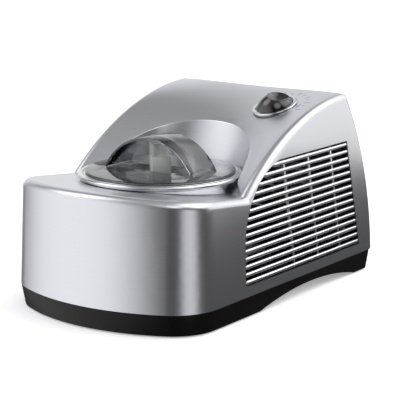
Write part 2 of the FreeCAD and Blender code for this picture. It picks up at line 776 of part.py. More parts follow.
# Base
sideways = Rotation(Vector(0, 1, 0), 90)


def base_form(low_inset, low, high_inset, high):
    """The base's outline between two heights."""
    return lofted([plan(low_inset, low, "shell_rear"), plan(high_inset, high, "shell_rear")])


skirt = base_form("base_inset", "skirt_gap", "0", SEAM)
under = base_form("base_inset + wall", "skirt_gap - under_run", "base_inset + wall", "base_floor")
over = base_form("base_inset + wall", FLOOR, "base_inset + wall", f"{SEAM} + under_run")
ARCH_Z = "(skirt_arch_rise - skirt_arc)"
arch = cylinder("skirt_arc", "2 * shell_width", "-shell_width", "skirt_arch_middle", ARCH_Z, sideways)
FOOT_PLACES = [("foot_side", "-foot_front"), ("foot_side", "foot_rear")]
BOSS = "(base_floor - foot_height)"
bosses = [cylinder("foot_radius - boss_inset", BOSS, x, y, "foot_height") for x, y in FOOT_PLACES]
pilots = [cylinder("screw_radius", BOSS, x, y, "foot_height") for x, y in FOOT_PLACES]
tray = fused(cut(skirt, under, over, arch), *bosses, *[mirrored(boss) for boss in bosses])
node(cut(tray, *pilots, *[mirrored(pilot) for pilot in pilots]), "base_tray")
SHANK = "(screw_radius - running_gap)"
HEAD = "(2 * screw_radius)"
FOOT_WEB = "(foot_height - foot_web)"
feet, foot_screws = [], []
for x, y in FOOT_PLACES:
    feet.append(turned([
        ("screw_radius + free_gap", FOOT_WEB),
        (f"{HEAD} + free_gap", FOOT_WEB),
        (f"{HEAD} + free_gap", "0"),
        ("foot_radius - foot_web", "0"),
        ("foot_radius", "foot_web"),
        ("foot_radius", "foot_height"),
        ("screw_radius + free_gap", "foot_height"),
    ], x, y))
    foot_screws.append(turned([
        ("0", f"{FOOT_WEB} - head_height"),
        (HEAD, f"{FOOT_WEB} - head_height"),
        (HEAD, FOOT_WEB),
        (SHANK, FOOT_WEB),
        (SHANK, "base_floor - head_height"),
        ("0", "base_floor - head_height"),
    ], x, y))
node(grouped(*feet, *[mirrored(foot) for foot in feet]), "rubber_feet")
node(grouped(*foot_screws, *[mirrored(screw) for screw in foot_screws]), "foot_screws")

# Freezing well and what surrounds it
WELL_TOP = "(bowl_rim - free_gap)"
WELL_OUT = "(well_radius + well_wall)"
FLANGE = "(collar_neck - wall - free_gap)"
node(turned([
    ("seal_radius", WELL_UNDER),
    (WELL_OUT, WELL_UNDER),
    (WELL_OUT, f"{WELL_TOP} - well_wall"),
    (FLANGE, f"{WELL_TOP} - well_wall"),
    (FLANGE, WELL_TOP),
    ("well_radius", WELL_TOP),
    ("well_radius", "well_floor"),
    ("seal_radius", "well_floor"),
], y=BOWL_Y), "freezing_well")
node(turned(box_path("collar_bore", WELL_TOP, FLANGE, "collar_top - collar_lip"), y=BOWL_Y), "well_gasket")
SLEEVE_IN = f"({WELL_OUT} + fit_gap)"
SLEEVE_OUT = f"({SLEEVE_IN} + sleeve_thick)"
FOAM_IN = f"({SLEEVE_OUT} + fit_gap)"
FOAM_OUT = f"({FOAM_IN} + foam_thick)"
sleeve = box_path(SLEEVE_IN, "well_floor", SLEEVE_OUT, "foam_top - sleeve_thick")
node(turned(sleeve, y=BOWL_Y), "evaporator_sleeve")
FOAM_UNDER = f"({COVER_TOP} + head_height + fit_gap)"
FOAM_FLOOR = f"({WELL_UNDER} - fit_gap)"
node(turned([
    ("2 * seal_radius", FOAM_UNDER),
    (FOAM_OUT, FOAM_UNDER),
    (FOAM_OUT, "foam_top"),
    (FOAM_IN, "foam_top"),
    (FOAM_IN, FOAM_FLOOR),
    ("2 * seal_radius", FOAM_FLOOR),
], y=BOWL_Y), "insulation_jacket")
SEAL_OUT = "(seal_radius - running_gap)"
seal = box_path("shaft_radius + free_gap", f"{WELL_UNDER} - well_wall", SEAL_OUT, "well_floor + free_gap")
node(turned(seal, y=BOWL_Y), "shaft_seal")

# Gearbox
BOX_SIDE = "(gear_module * (output_teeth / 2 + 1) + gear_room + gearbox_wall)"
BOX_FRONT = f"({BOX_SIDE} + bowl_ahead)"
BOX_REAR = f"({IDLER_Y} + gear_module * (large_teeth / 2 + 1) + gear_room + gearbox_wall)"
NOSE_SIDE = "(gear_module * (pinion_teeth / 2 + 1) + gear_room + gearbox_wall)"
NOSE_REAR = f"({MOTOR_Y} + {NOSE_SIDE})"


def gearbox_outline(inset):
    """The gearbox from above: wide over the output and idler gears, with a nose for the pinion."""
    side, nose = f"({BOX_SIDE} - {inset})", f"({NOSE_SIDE} - {inset})"
    front, rear, tip = f"({inset} - {BOX_FRONT})", f"({BOX_REAR} - {inset})", f"({NOSE_REAR} - {inset})"
    return [
        ("-" + side, front), (side, front), (side, rear), (nose, rear),
        (nose, tip), ("-" + nose, tip), ("-" + nose, rear), ("-" + side, rear),
    ]


SCREW_X = f"({BOX_SIDE} - 2 * gearbox_boss)"
BOX_SCREWS = [
    (side + SCREW_X, y)
    for side in ("", "-")
    for y in (f"(2 * gearbox_boss - {BOX_FRONT})", f"({BOX_REAR} - 2 * gearbox_boss)")
]
BOX_INSIDE = f"({FLOOR} + gearbox_wall)"
BOX_HEIGHT = f"({COVER_UNDER} - {FLOOR})"
ROOM_HEIGHT = f"({COVER_UNDER} - {BOX_INSIDE})"
screw_holes = [(x, y, "screw_radius") for x, y in BOX_SCREWS]
screw_bosses = [(x, y, "gearbox_boss") for x, y in BOX_SCREWS]
gearbox = padded(lambda body: outline(body, "XY_Plane", gearbox_outline("0"), FLOOR), BOX_HEIGHT)
gear_space = gearbox_outline("gearbox_wall")
pocket(gearbox, lambda body: outline(body, "XY_Plane", gear_space, BOX_INSIDE), BOX_HEIGHT, True)
add_pad(gearbox, lambda body: circles(body, "XY_Plane", screw_bosses, BOX_INSIDE), ROOM_HEIGHT)
pocket(gearbox, lambda body: circles(body, "XY_Plane", screw_holes, BOX_INSIDE), BOX_HEIGHT, True)
node(gearbox, "gearbox_base")
BUSH_OUT = "(shaft_radius + bush_wall)"
cover = padded(lambda body: outline(body, "XY_Plane", gearbox_outline("0"), COVER_UNDER), "gearbox_wall")
cover_holes = screw_holes + [
    ("0", BOWL_Y, f"{BUSH_OUT} + running_gap"),
    ("0", MOTOR_Y, "motor_shaft + free_gap"),
]
pocket(cover, lambda body: circles(body, "XY_Plane", cover_holes, COVER_UNDER), "2 * gearbox_wall", True)
node(cover, "gearbox_cover")
node(grouped(*[turned([
    ("0", UPPER_GEARS),
    (SHANK, UPPER_GEARS),
    (SHANK, COVER_TOP),
    (HEAD, COVER_TOP),
    (HEAD, f"{COVER_TOP} + head_height"),
    ("0", f"{COVER_TOP} + head_height"),
], x, y) for x, y in BOX_SCREWS]), "gearbox_screws")
node(turned([
    ("shaft_radius + running_gap", COVER_UNDER),
    (BUSH_OUT, COVER_UNDER),
    (BUSH_OUT, COVER_TOP),
    (f"{BUSH_OUT} + bush_wall", COVER_TOP),
    (f"{BUSH_OUT} + bush_wall", f"{COVER_TOP} + bush_wall"),
    ("shaft_radius + running_gap", f"{COVER_TOP} + bush_wall"),
], y=BOWL_Y), "shaft_bush")
node(cylinder("pin_radius", ROOM_HEIGHT, "0", IDLER_Y, BOX_INSIDE), "idler_pin")


def gear(teeth, tooth_angle, x, y, z):
    """An involute gear blank whose first tooth points along tooth_angle, in degrees."""
    builder = fcgear.FCWireBuilder()
    pressure_angle = amount("pressure_angle")
    involute.CreateExternalGear(builder, amount("gear_module"), int(amount(teeth)), pressure_angle, True)
    rim = Part.Wire([curve.toShape() for curve in builder.wire])
    blank = doc.addObject("Part::Feature", "Gear")
    blank.Shape = Part.Face(rim).extrude(Vector(0, 0, amount("gear_face")))
    return place(blank, x, y, z, Rotation(Vector(0, 0, 1), tooth_angle))


def half_pitch(teeth):
    """Half the angle between two teeth, in degrees."""
    return 180 / amount(teeth)


output = gear("output_teeth", 90 + half_pitch("output_teeth"), "0", BOWL_Y, LOWER_GEARS)
node(cut(output, cylinder("shaft_radius", BOX_HEIGHT, "0", BOWL_Y, FLOOR)), "output_gear")
SQUARE_LOW = "(shaft_top - shaft_grip)"
drive_shaft = turned(box_path("0", f"{BOX_INSIDE} + free_gap", "shaft_radius", SQUARE_LOW), y=BOWL_Y)
FLAT = "(shaft_square / 2)"
square = box_path("-" + FLAT, "-" + FLAT, FLAT, FLAT)
add_pad(drive_shaft, lambda body: outline(body, "XY_Plane", square, SQUARE_LOW), "shaft_grip")
node(drive_shaft, "drive_shaft")
large = gear("large_teeth", 90 + half_pitch("large_teeth"), "0", IDLER_Y, UPPER_GEARS)
small = gear("small_teeth", -90, "0", IDLER_Y, LOWER_GEARS)
neck = cylinder("2 * pin_radius", "gear_face + gear_gap", "0", IDLER_Y, f"{UPPER_GEARS} - gear_gap")
idler_bore = cylinder("pin_radius + running_gap", BOX_HEIGHT, "0", IDLER_Y, FLOOR)
node(cut(fused(large, small, neck), idler_bore), "idler_gear")
pinion = gear("pinion_teeth", -90, "0", MOTOR_Y, UPPER_GEARS)
SPINDLE_TOP = f"({COVER_TOP} + motor_bore - free_gap)"
spindle = cylinder("motor_shaft", f"{SPINDLE_TOP} - {UPPER_GEARS}", "0", MOTOR_Y, UPPER_GEARS)
node(fused(pinion, spindle), "motor_pinion")
MOTOR_TOP = f"({COVER_TOP} + motor_height)"
MOTOR_NOSE = "(motor_radius - motor_step)"
node(turned([
    ("0", f"{COVER_TOP} + motor_bore"),
    ("motor_shaft + running_gap", f"{COVER_TOP} + motor_bore"),
    ("motor_shaft + running_gap", COVER_TOP),
    (MOTOR_NOSE, COVER_TOP),
    (MOTOR_NOSE, f"{COVER_TOP} + 2 * motor_step"),
    ("motor_radius", f"{COVER_TOP} + 2 * motor_step"),
    ("motor_radius", f"{MOTOR_TOP} - 2 * motor_step"),
    (MOTOR_NOSE, f"{MOTOR_TOP} - 2 * motor_step"),
    (MOTOR_NOSE, MOTOR_TOP),
    ("0", MOTOR_TOP),
], y=MOTOR_Y), "drive_motor")

# Compressor on its rubber mounts
CAN_X = "-compressor_side"
CAN_LOW = f"({FLOOR} + grommet_height)"
CAN_TOP = f"({CAN_LOW} + compressor_height)"
CAN_SHOULDER = f"({CAN_TOP} - compressor_dome)"
CAN_DOME = "(compressor_radius ^ 2 + compressor_dome ^ 2) / (2 * compressor_dome)"
can = turned([
    ("0", CAN_LOW),
    ("compressor_radius - grommet_height", CAN_LOW),
    ("compressor_radius", f"{CAN_LOW} + grommet_height"),
    ("compressor_radius", CAN_SHOULDER, CAN_DOME),
    ("0", CAN_TOP),
], CAN_X, "compressor_back")
SOLE = "(compressor_radius - sole_inset)"
sole = block(
    f"2 * {SOLE}", f"2 * {SOLE}", "sole_thick", f"{CAN_X} - {SOLE}", f"compressor_back - {SOLE}", CAN_LOW,
)
node(fused(can, sole), "compressor")
MOUNT_REACH = f"({SOLE} - grommet_radius)"
node(grouped(*[
    cylinder("grommet_radius", "grommet_height", f"{CAN_X} + {i} * {MOUNT_REACH}",
             f"compressor_back + {j} * {MOUNT_REACH}", FLOOR)
    for i in (-1, 1) for j in (-1, 1)
]), "compressor_grommets")

# Condenser, with air drawn through its fins
CORE_Y = "(fan_back - condenser_length / 2)"
core = block("condenser_thick", "condenser_length", "condenser_height", "condenser_inner", CORE_Y, FLOOR)
fin_gaps = grouped(*[
    block(
        "3 * condenser_thick", "fin_pitch - fin_thick", "condenser_height - 2 * condenser_rail",
        "condenser_inner - condenser_thick", f"{CORE_Y} + fin_thick + {i} * fin_pitch",
        f"{FLOOR} + condenser_rail",
    )
    for i in range(int(amount("(condenser_length - fin_thick) / fin_pitch")))
])
node(cut(core, fin_gaps), "condenser")
SHROUD_X = "(condenser_inner - shroud_gap - wall)"
SHROUD_HEIGHT = f"(fan_height + fan_radius + shroud_edge - {FLOOR})"
shroud = block("wall", "condenser_length", SHROUD_HEIGHT, SHROUD_X, CORE_Y, FLOOR)
throat = cylinder("fan_radius + wall", "3 * wall", f"{SHROUD_X} - wall", "fan_back", "fan_height", sideways)
node(cut(shroud, throat), "fan_shroud")
FAN_X = f"({SHROUD_X} - fan_width - shroud_gap)"
FAN_SHAFT_END = "-(fan_motor_length / 2)"
fan = turned(box_path("0", "0", "fan_hub", "fan_width"), FAN_X, "fan_back", "fan_height", sideways)
fan_rod = [("0", "0", "fan_shaft")]
add_pad(fan, lambda body: circles(body, "XY_Plane", fan_rod, FAN_SHAFT_END), "fan_motor_length / 2")
slant = [
    ("-fan_width / 2", "0"),
    ("fan_blade_thick - fan_width / 2", "0"),
    ("fan_width / 2", "fan_width"),
    ("fan_width / 2 - fan_blade_thick", "fan_width"),
]
blade = add_pad(fan, lambda body: outline(body, "YZ_Plane", slant, "fan_hub / 2"), "fan_radius - fan_hub / 2")
polar(fan, blade, int(amount("fan_blades")))
node(fan, "fan_blade")
node(turned([
    ("0", f"{FAN_SHAFT_END} - free_gap"),
    ("fan_shaft + running_gap", f"{FAN_SHAFT_END} - free_gap"),
    ("fan_shaft + running_gap", "-shroud_gap"),
    ("fan_motor_radius", "-shroud_gap"),
    ("fan_motor_radius", "-fan_motor_length"),
    ("0", "-fan_motor_length"),
], FAN_X, "fan_back", "fan_height", sideways), "fan_motor")
node(block(
    "fan_motor_length / 2", "fan_motor_radius", f"fan_height - fan_motor_radius - fit_gap - {FLOOR}",
    f"{FAN_X} + shroud_gap - fan_motor_length", "fan_back - fan_motor_radius / 2", FLOOR,
), "fan_bracket")

# Refrigerant tubes, ending just short of what they join
DRIER_NECK = "(drier_radius - tube_radius)"
node(turned([
    ("0", "0"),
    ("tube_radius", "0"),
    ("tube_radius", DRIER_NECK),
    ("drier_radius", f"2 * {DRIER_NECK}"),
    ("drier_radius", f"drier_length - 2 * {DRIER_NECK}"),
    ("tube_radius", f"drier_length - {DRIER_NECK}"),
    ("tube_radius", "drier_length"),
    ("0", "drier_length"),
], "-drier_side", "drier_back", f"{FLOOR} + 2 * drier_radius", backward), "filter_drier")
SUCTION_Z = "(foam_top - 2 * tube_radius)"
can_clear = cylinder("compressor_radius + fit_gap", CAN_TOP, CAN_X, "compressor_back", "0")
foam_clear = cylinder(f"{FOAM_OUT} + fit_gap", "foam_top", "0", BOWL_Y, "0")
suction = cylinder("tube_radius", "compressor_back + bowl_ahead", CAN_X, BOWL_Y, SUCTION_Z, backward)
node(cut(suction, foam_clear, can_clear), "suction_tube")
CORE_X = "(condenser_inner + condenser_thick / 2)"
CORE_REAR = "(fan_back + condenser_length / 2 + fit_gap)"
DISCHARGE_Y = f"({CORE_REAR} + 2 * tube_radius)"
DISCHARGE_Z = f"({CAN_LOW} + compressor_height / 3)"
across = cylinder("tube_radius", f"{CORE_X} + compressor_side", CAN_X, DISCHARGE_Y, DISCHARGE_Z, sideways)
into_core = cylinder("tube_radius", f"{DISCHARGE_Y} - {CORE_REAR}", CORE_X, CORE_REAR, DISCHARGE_Z, backward)
elbow = doc.addObject("Part::Sphere", "Elbow")
bind(elbow, Radius="tube_radius")
place(elbow, CORE_X, DISCHARGE_Y, DISCHARGE_Z)
node(cut(fused(across, into_core, elbow), can_clear), "discharge_tube")

# Electric box on the floor
node(block("box_width", "box_length", "box_height", "box_side", "-box_length / 2", FLOOR), "control_box")
node(block(
    "terminal_width", "terminal_length", "terminal_height",
    "box_side + (box_width - terminal_width) / 2", "-terminal_length / 2", f"{FLOOR} + box_height",
), "terminal_block")

# Removable bowl
BOWL_IN = f"({BOWL_OUT} - bowl_wall)"
BOWL_BRIM = "(collar_bore - 2 * free_gap)"
CHIMNEY_IN = "(chimney_radius - bowl_wall)"
CHIMNEY_TOP = f"({BOWL_FLOOR} + chimney_height)"
node(turned([
    (CHIMNEY_IN, BOWL_FLOOR),
    (BOWL_OUT, BOWL_FLOOR),
    (BOWL_OUT, "bowl_rim"),
    (BOWL_BRIM, "bowl_rim"),
    (BOWL_BRIM, "bowl_rim + bowl_wall"),
    (BOWL_IN, "bowl_rim + bowl_wall"),
    (BOWL_IN, f"{BOWL_FLOOR} + bowl_wall"),
    ("chimney_radius", f"{BOWL_FLOOR} + bowl_wall"),
    ("chimney_radius", CHIMNEY_TOP),
    (CHIMNEY_IN, CHIMNEY_TOP),
], y=BOWL_Y), "ice_cream_bowl")

# Paddle: a square tower over the bowl's chimney, with a framed blade on each side
PADDLE_LOW = f"({BOWL_FLOOR} + bowl_wall + paddle_lift)"
BLADE_TOP = "(bowl_rim - blade_below_rim)"
HUB = "(hub_width / 2)"
THIN = "(blade_thick / 2)"
tower = box_path("-" + HUB, "-" + HUB, HUB, HUB)
vane = box_path("-blade_reach", "-" + THIN, "blade_reach", THIN)
TOWER_HEIGHT = f"(hub_top - {PADDLE_LOW})"
paddle = padded(lambda body: outline(body, "XY_Plane", tower, PADDLE_LOW), TOWER_HEIGHT, y=BOWL_Y)
add_pad(paddle, lambda body: outline(body, "XY_Plane", vane, PADDLE_LOW), f"{BLADE_TOP} - {PADDLE_LOW}")
for side in ("-1", "1"):
    blade_window = box_path(
        f"{side} * ({HUB} + blade_frame)", f"{PADDLE_LOW} + blade_frame",
        f"{side} * (blade_reach - blade_frame)", f"{BLADE_TOP} - blade_frame",
    )
    through = "2 * blade_thick"
    pocket(paddle, lambda body: outline(body, "XZ_Plane", blade_window, "-blade_thick"), through, True)
SOCKET_LOW = f"({CHIMNEY_TOP} + paddle_lift)"
SEAT = "(shaft_square / 2 + free_gap)"
chimney_room = [("0", "0", "chimney_radius + free_gap")]
CHIMNEY_ROOM = f"({SOCKET_LOW} - {PADDLE_LOW})"
pocket(paddle, lambda body: circles(body, "XY_Plane", chimney_room, PADDLE_LOW), CHIMNEY_ROOM, True)
socket = box_path("-" + SEAT, "-" + SEAT, SEAT, SEAT)
SOCKET_DEPTH = f"(shaft_top + paddle_lift - {SOCKET_LOW})"
pocket(paddle, lambda body: outline(body, "XY_Plane", socket, SOCKET_LOW), SOCKET_DEPTH, True)
node(paddle, "mixing_paddle")

# Lid: a clear disc that sits in the collar, with an opening under an arched strap
LID_LIP = "(collar_bore - 2 * free_gap)"
LIP_LOW = f"({LID_UNDER} - lid_lip)"
lid = turned([
    ("0", LID_UNDER),
    (f"{LID_LIP} - lid_lip", LID_UNDER),
    (f"{LID_LIP} - lid_lip", LIP_LOW),
    (LID_LIP, LIP_LOW),
    (LID_LIP, LID_UNDER),
    ("lid_radius", LID_UNDER),
    ("lid_radius", f"{LID_TOP} - lid_thick / 3"),
    ("lid_radius - lid_thick / 3", LID_TOP),
    ("0", LID_TOP),
], y=BOWL_Y)
mouth = box_path("-mouth_length / 2", "-mouth_width / 2", "mouth_length / 2", "mouth_width / 2")
pocket(lid, lambda body: outline(body, "XY_Plane", mouth, LID_UNDER), "2 * lid_thick", True)
ARC_OUT = "((strap_span ^ 2 + strap_height ^ 2) / (2 * strap_height))"
ARC_IN = f"({ARC_OUT} - strap_thick)"
STRAP_LOW = f"({LID_TOP} - lid_thick / 3)"
INNER_SPAN = f"sqrt({ARC_IN} ^ 2 - ({ARC_OUT} - strap_height) ^ 2)"
strap = [
    ("strap_span", STRAP_LOW, ARC_OUT),
    ("-strap_span", STRAP_LOW),
    (f"-{INNER_SPAN}", STRAP_LOW, f"-{ARC_IN}"),
    (INNER_SPAN, STRAP_LOW),
]
add_pad(lid, lambda body: outline(body, "XZ_Plane", strap, "-strap_width / 2"), "strap_width")
node(lid, "lid")

# Control knob and its switch, made about the knob's own axis, with the hood's surface at zero
BEZEL_TUBE = "(bezel_radius - bezel_lap)"
BEZEL_IN = f"({BEZEL_TUBE} - bezel_lap / 2)"
BEZEL_TOP = "(bezel_seat + bezel_thick)"
BEZEL_FLOOR = "(bezel_thick - bezel_depth)"
NECK = "(spindle_radius + neck_wall)"
node(on_hood(turned([
    (f"{NECK} + free_gap", "-bezel_depth"),
    (BEZEL_TUBE, "-bezel_depth"),
    (BEZEL_TUBE, "bezel_seat"),
    ("bezel_radius", "bezel_seat"),
    ("bezel_radius - bezel_thick / 2", BEZEL_TOP),
    (BEZEL_IN, BEZEL_TOP),
    (BEZEL_IN, BEZEL_FLOOR),
    (f"{NECK} + free_gap", BEZEL_FLOOR),
])), "knob_bezel")
KNOB_LOW = "(bezel_seat + free_gap)"
KNOB_EDGE = f"({KNOB_LOW} + 2 * free_gap)"
DOME = "(knob_height - 2 * free_gap)"
KNOB_SEAT = f"({KNOB_LOW} + knob_height / 4)"
knob = turned([
    ("spindle_radius", KNOB_LOW),
    ("knob_radius - 2 * free_gap", KNOB_LOW),
    ("knob_radius", KNOB_EDGE, f"(knob_radius ^ 2 + {DOME} ^ 2) / (2 * {DOME})"),
    ("0", f"{KNOB_LOW} + knob_height"),
    ("0", KNOB_SEAT),
    ("spindle_radius", KNOB_SEAT),
])
finger = doc.addObject("Part::Sphere", "Finger")
bind(finger, Radius="finger_radius")
FINGER_X, FINGER_Y = "finger_side * cos(finger_angle * 1 deg)", "finger_side * sin(finger_angle * 1 deg)"
place(finger, FINGER_X, FINGER_Y, f"{KNOB_LOW} + finger_height")
node(on_hood(cut(knob, finger)), "control_knob")
SWITCH_TOP = "(-bezel_depth - free_gap)"
SWITCH_LOW = f"({SWITCH_TOP} - switch_height)"
SPINDLE_BORE = "(spindle_radius + running_gap)"
SPINDLE_LENGTH = f"({KNOB_SEAT} - {SWITCH_LOW} - 2 * free_gap)"
knob_spindle = cylinder("spindle_radius - running_gap", SPINDLE_LENGTH)
node(on_hood(knob_spindle, f"{SWITCH_LOW} + free_gap"), "knob_spindle")
node(on_hood(turned([
    (SPINDLE_BORE, SWITCH_LOW),
    ("switch_radius", SWITCH_LOW),
    ("switch_radius", SWITCH_TOP),
    (NECK, SWITCH_TOP),
    (NECK, f"{KNOB_LOW} - free_gap"),
    (SPINDLE_BORE, f"{KNOB_LOW} - free_gap"),
])), "timer_switch")
NUT_LOW = f"({BEZEL_FLOOR} + running_gap)"
node(on_hood(turned(box_path(
    f"{NECK} + running_gap", NUT_LOW, f"{NECK} + 2 * neck_wall", f"{NUT_LOW} + neck_wall",
))), "switch_nut")

# Checks, then one file for each piece
doc.recompute()
failed = [item.Label for item in doc.Objects if {"Invalid", "Error"} & set(item.State)]
for piece in NODES:
    if piece.Shape.isNull() or not piece.Shape.isValid():
        failed.append(piece.Label)
if failed:
    raise RuntimeError("failed: " + ", ".join(failed))
os.makedirs("parts", exist_ok=True)
for piece in NODES:
    piece.Shape.exportStep(os.path.join("parts", piece.Label + ".step"))
    print(f"{piece.Label:22} {len(piece.Shape.Solids)} solids {piece.Shape.Volume / 1000:9.1f} cm3")
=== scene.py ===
"""Looks of the compressor ice cream maker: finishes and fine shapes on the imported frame, with a pale
floor, soft light and a camera.  Sizes are in millimetres and become metres where they meet a mesh."""

import json
import logging
import math
from dataclasses import dataclass
from enum import Enum
from typing import Iterable, Optional, Sequence, Union

import bmesh
import bpy
from mathutils import Matrix, Vector
from mathutils.bvhtree import BVHTree


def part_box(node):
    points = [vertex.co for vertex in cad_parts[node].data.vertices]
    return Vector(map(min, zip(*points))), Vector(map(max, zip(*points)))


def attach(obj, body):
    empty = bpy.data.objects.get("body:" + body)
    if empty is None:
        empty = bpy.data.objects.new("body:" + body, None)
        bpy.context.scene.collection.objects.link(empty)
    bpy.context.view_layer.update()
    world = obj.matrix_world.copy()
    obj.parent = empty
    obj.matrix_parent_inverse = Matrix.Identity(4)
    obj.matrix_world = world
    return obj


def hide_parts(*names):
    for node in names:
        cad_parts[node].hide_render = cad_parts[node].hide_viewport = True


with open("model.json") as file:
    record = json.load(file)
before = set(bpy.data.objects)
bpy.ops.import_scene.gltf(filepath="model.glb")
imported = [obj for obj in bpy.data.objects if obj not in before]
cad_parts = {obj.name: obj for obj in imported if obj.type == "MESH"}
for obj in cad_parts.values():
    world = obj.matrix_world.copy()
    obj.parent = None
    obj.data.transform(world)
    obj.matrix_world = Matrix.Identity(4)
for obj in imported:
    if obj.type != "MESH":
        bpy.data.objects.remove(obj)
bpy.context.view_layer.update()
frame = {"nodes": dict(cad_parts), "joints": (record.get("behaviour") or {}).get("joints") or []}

MM = 0.001
LOG = logging.getLogger("ice_cream_maker")
Shape = bmesh.types.BMesh
Piece = bpy.types.Object
Value = Union[float, Sequence[float], bpy.types.NodeSocket]


class Axis(Enum):
    """A main direction of the frame."""

    Y = Vector((0, 1, 0))
    Z = Vector((0, 0, 1))


class Side(Enum):
    """A side of the machine, as seen by someone who faces its front."""

    RIGHT = 1
    LEFT = -1


# Materials
def linear(code: str) -> tuple[float, float, float, float]:
    """Turn an sRGB hex colour into linear light.

    Args:
        code: six hex digits after a number sign.

    Returns:
        Red, green, blue and a full alpha.
    """
    channels = [int(code[i : i + 2], 16) / 255 for i in (1, 3, 5)]
    light = [c / 12.92 if c <= 0.04045 else ((c + 0.055) / 1.055) ** 2.4 for c in channels]
    return light[0], light[1], light[2], 1.0


def add_node(
    tree: bpy.types.NodeTree,
    kind: str,
    inputs: Optional[dict[Union[int, str], Value]] = None,
    **settings: object,
) -> bpy.types.Node:
    """Add a node with its settings, and set or link its inputs.

    Args:
        tree: the node tree.
        kind: the node's type name.
        inputs: values, or sockets to link from, by input name or number.
        settings: properties of the node.

    Returns:
        The new node.
    """
    added = tree.nodes.new(kind)
    for name, value in settings.items():
        setattr(added, name, value)
    for name, value in (inputs or {}).items():
        if isinstance(value, bpy.types.NodeSocket):
            tree.links.new(value, added.inputs[name])
        else:
            added.inputs[name].default_value = value
    return added


@dataclass(frozen=True)
class Pattern:
    """A noise on Object coordinates.

    Attributes:
        size_mm: size of its features along X, Y and Z.
        detail: finer octaves of the noise.
        tint: share by which it varies the colour.
        gloss: how far it varies the roughness.
        relief_mm: height of its bump.
    """

    size_mm: tuple[float, float, float]
    detail: float = 2.0
    tint: float = 0.0
    gloss: float = 0.0
    relief_mm: float = 0.0


@dataclass(frozen=True)
class Finish:
    """One finish of the object, made as a procedural material.

    Attributes:
        name: what the material is.
        slot: the record's slot that it stands for, or nothing; not used.
        colour: sRGB hex colour.
        roughness: mean roughness.
        metallic: 1 for bare or lacquered metal.
        ior: refractive index of a plastic, left alone on a metal.
        specular: strength of a plastic's mirror light, a half for a clean surface.
        clear: transmission of a clear plastic.
        coat: weight of a clear top coat.
        skin: weight of the light that enters a milky plastic.
        patterns: the noises that vary it.
    """

    name: str
    slot: str
    colour: str
    roughness: float
    metallic: float = 0.0
    ior: float = 1.5
    specular: float = 0.5
    clear: float = 0.0
    coat: float = 0.0
    skin: float = 0.0
    patterns: tuple[Pattern, ...] = ()

    def material(self) -> bpy.types.Material:
        """The finish as a material, made once."""
        known = bpy.data.materials.get(self.name)
        if known:
            return known
        made = bpy.data.materials.new(self.name)
        made.use_nodes = True
        tree = made.node_tree
        shader = tree.nodes["Principled BSDF"]
        constants = {
            "Metallic": self.metallic,
            "Transmission Weight": self.clear,
            "Coat Weight": self.coat,
            "Coat Roughness": 0.08,
            "Subsurface Weight": self.skin,
            "Subsurface Radius": (0.002, 0.002, 0.002),
        }
        if not self.metallic:
            constants["IOR"] = self.ior
            constants["Specular IOR Level"] = self.specular
        for name, value in constants.items():
            shader.inputs[name].default_value = value
        self.vary(tree, shader)
        return made

    def vary(self, tree: bpy.types.NodeTree, shader: bpy.types.Node) -> None:
        """Drive colour, roughness and bump by the finish's patterns.

        Args:
            tree: the material's nodes.
            shader: its shader.
        """
        place = add_node(tree, "ShaderNodeTexCoord").outputs["Object"]
        shade: Value = 1 - sum(p.tint for p in self.patterns) / 2
        gloss: Value = self.roughness - sum(p.gloss for p in self.patterns) / 2
        bump: Optional[bpy.types.NodeSocket] = None
        for pattern in self.patterns:
            scale = tuple(1 / (size * MM) for size in pattern.size_mm)
            mapped = add_node(tree, "ShaderNodeMapping", {"Vector": place, "Scale": scale}).outputs[0]
            noise = add_node(
                tree, "ShaderNodeTexNoise", {"Vector": mapped, "Scale": 1.0, "Detail": pattern.detail}
            ).outputs[0]
            tint = {0: noise, 1: pattern.tint, 2: shade}
            shade = add_node(tree, "ShaderNodeMath", tint, operation="MULTIPLY_ADD").outputs[0]
            polish = {0: noise, 1: pattern.gloss, 2: gloss}
            gloss = add_node(tree, "ShaderNodeMath", polish, operation="MULTIPLY_ADD").outputs[0]
            if pattern.relief_mm:
                relief = {"Height": noise, "Distance": pattern.relief_mm * MM}
                if bump:
                    relief["Normal"] = bump
                bump = add_node(tree, "ShaderNodeBump", relief).outputs[0]
        colour = linear(self.colour)[:3]
        tinted = add_node(
            tree, "ShaderNodeVectorMath", {"Vector": colour, "Scale": shade}, operation="SCALE"
        ).outputs[0]
        tree.links.new(tinted, shader.inputs["Base Color"])
        tree.links.new(gloss, shader.inputs["Roughness"])
        if bump:
            tree.links.new(bump, shader.inputs["Normal"])


# Broad unevenness of any moulded or lacquered surface, and the fine grain of a spark-eroded mould
MOTTLE = Pattern((70, 70, 70), 1.0, tint=0.02, gloss=0.03)
GRAIN = Pattern((1.1, 1.1, 1.1), 2.0, tint=0.06, gloss=0.08, relief_mm=0.05)

# Silver lacquer on moulded ABS, brushed level before it is varnished: long level streaks and a satin
# sheen.  Real streaks are a tenth of a millimetre apart and are drawn coarser so that they show.
BRUSHED_SILVER = Finish(
    "brushed_silver_lacquer", "silver_shell", "#C9CACE", 0.30, metallic=1.0,
    patterns=(MOTTLE, Pattern((60, 60, 0.9), 3.0, tint=0.07, gloss=0.10, relief_mm=0.012)),
)
# The same lacquer on the louvres, too slim to be brushed: it keeps an even satin sheen, and its colour is
# painted lighter than the housing's lacquer as a painted highlight on the slats
SATIN_SILVER_PAINTED_LIGHTER = Finish(
    "satin_silver_painted_lighter", "silver_shell", "#D6D7DA", 0.28, metallic=1.0,
    patterns=(MOTTLE, Pattern((14, 14, 1.2), 2.0, tint=0.04, gloss=0.06)),
)
# The same ABS where no lacquer reaches it: dark grey, dull
BARE_ABS = Finish(
    "bare_grey_abs", "silver_shell", "#2A2A2C", 0.55, ior=1.53, patterns=(MOTTLE, GRAIN),
)
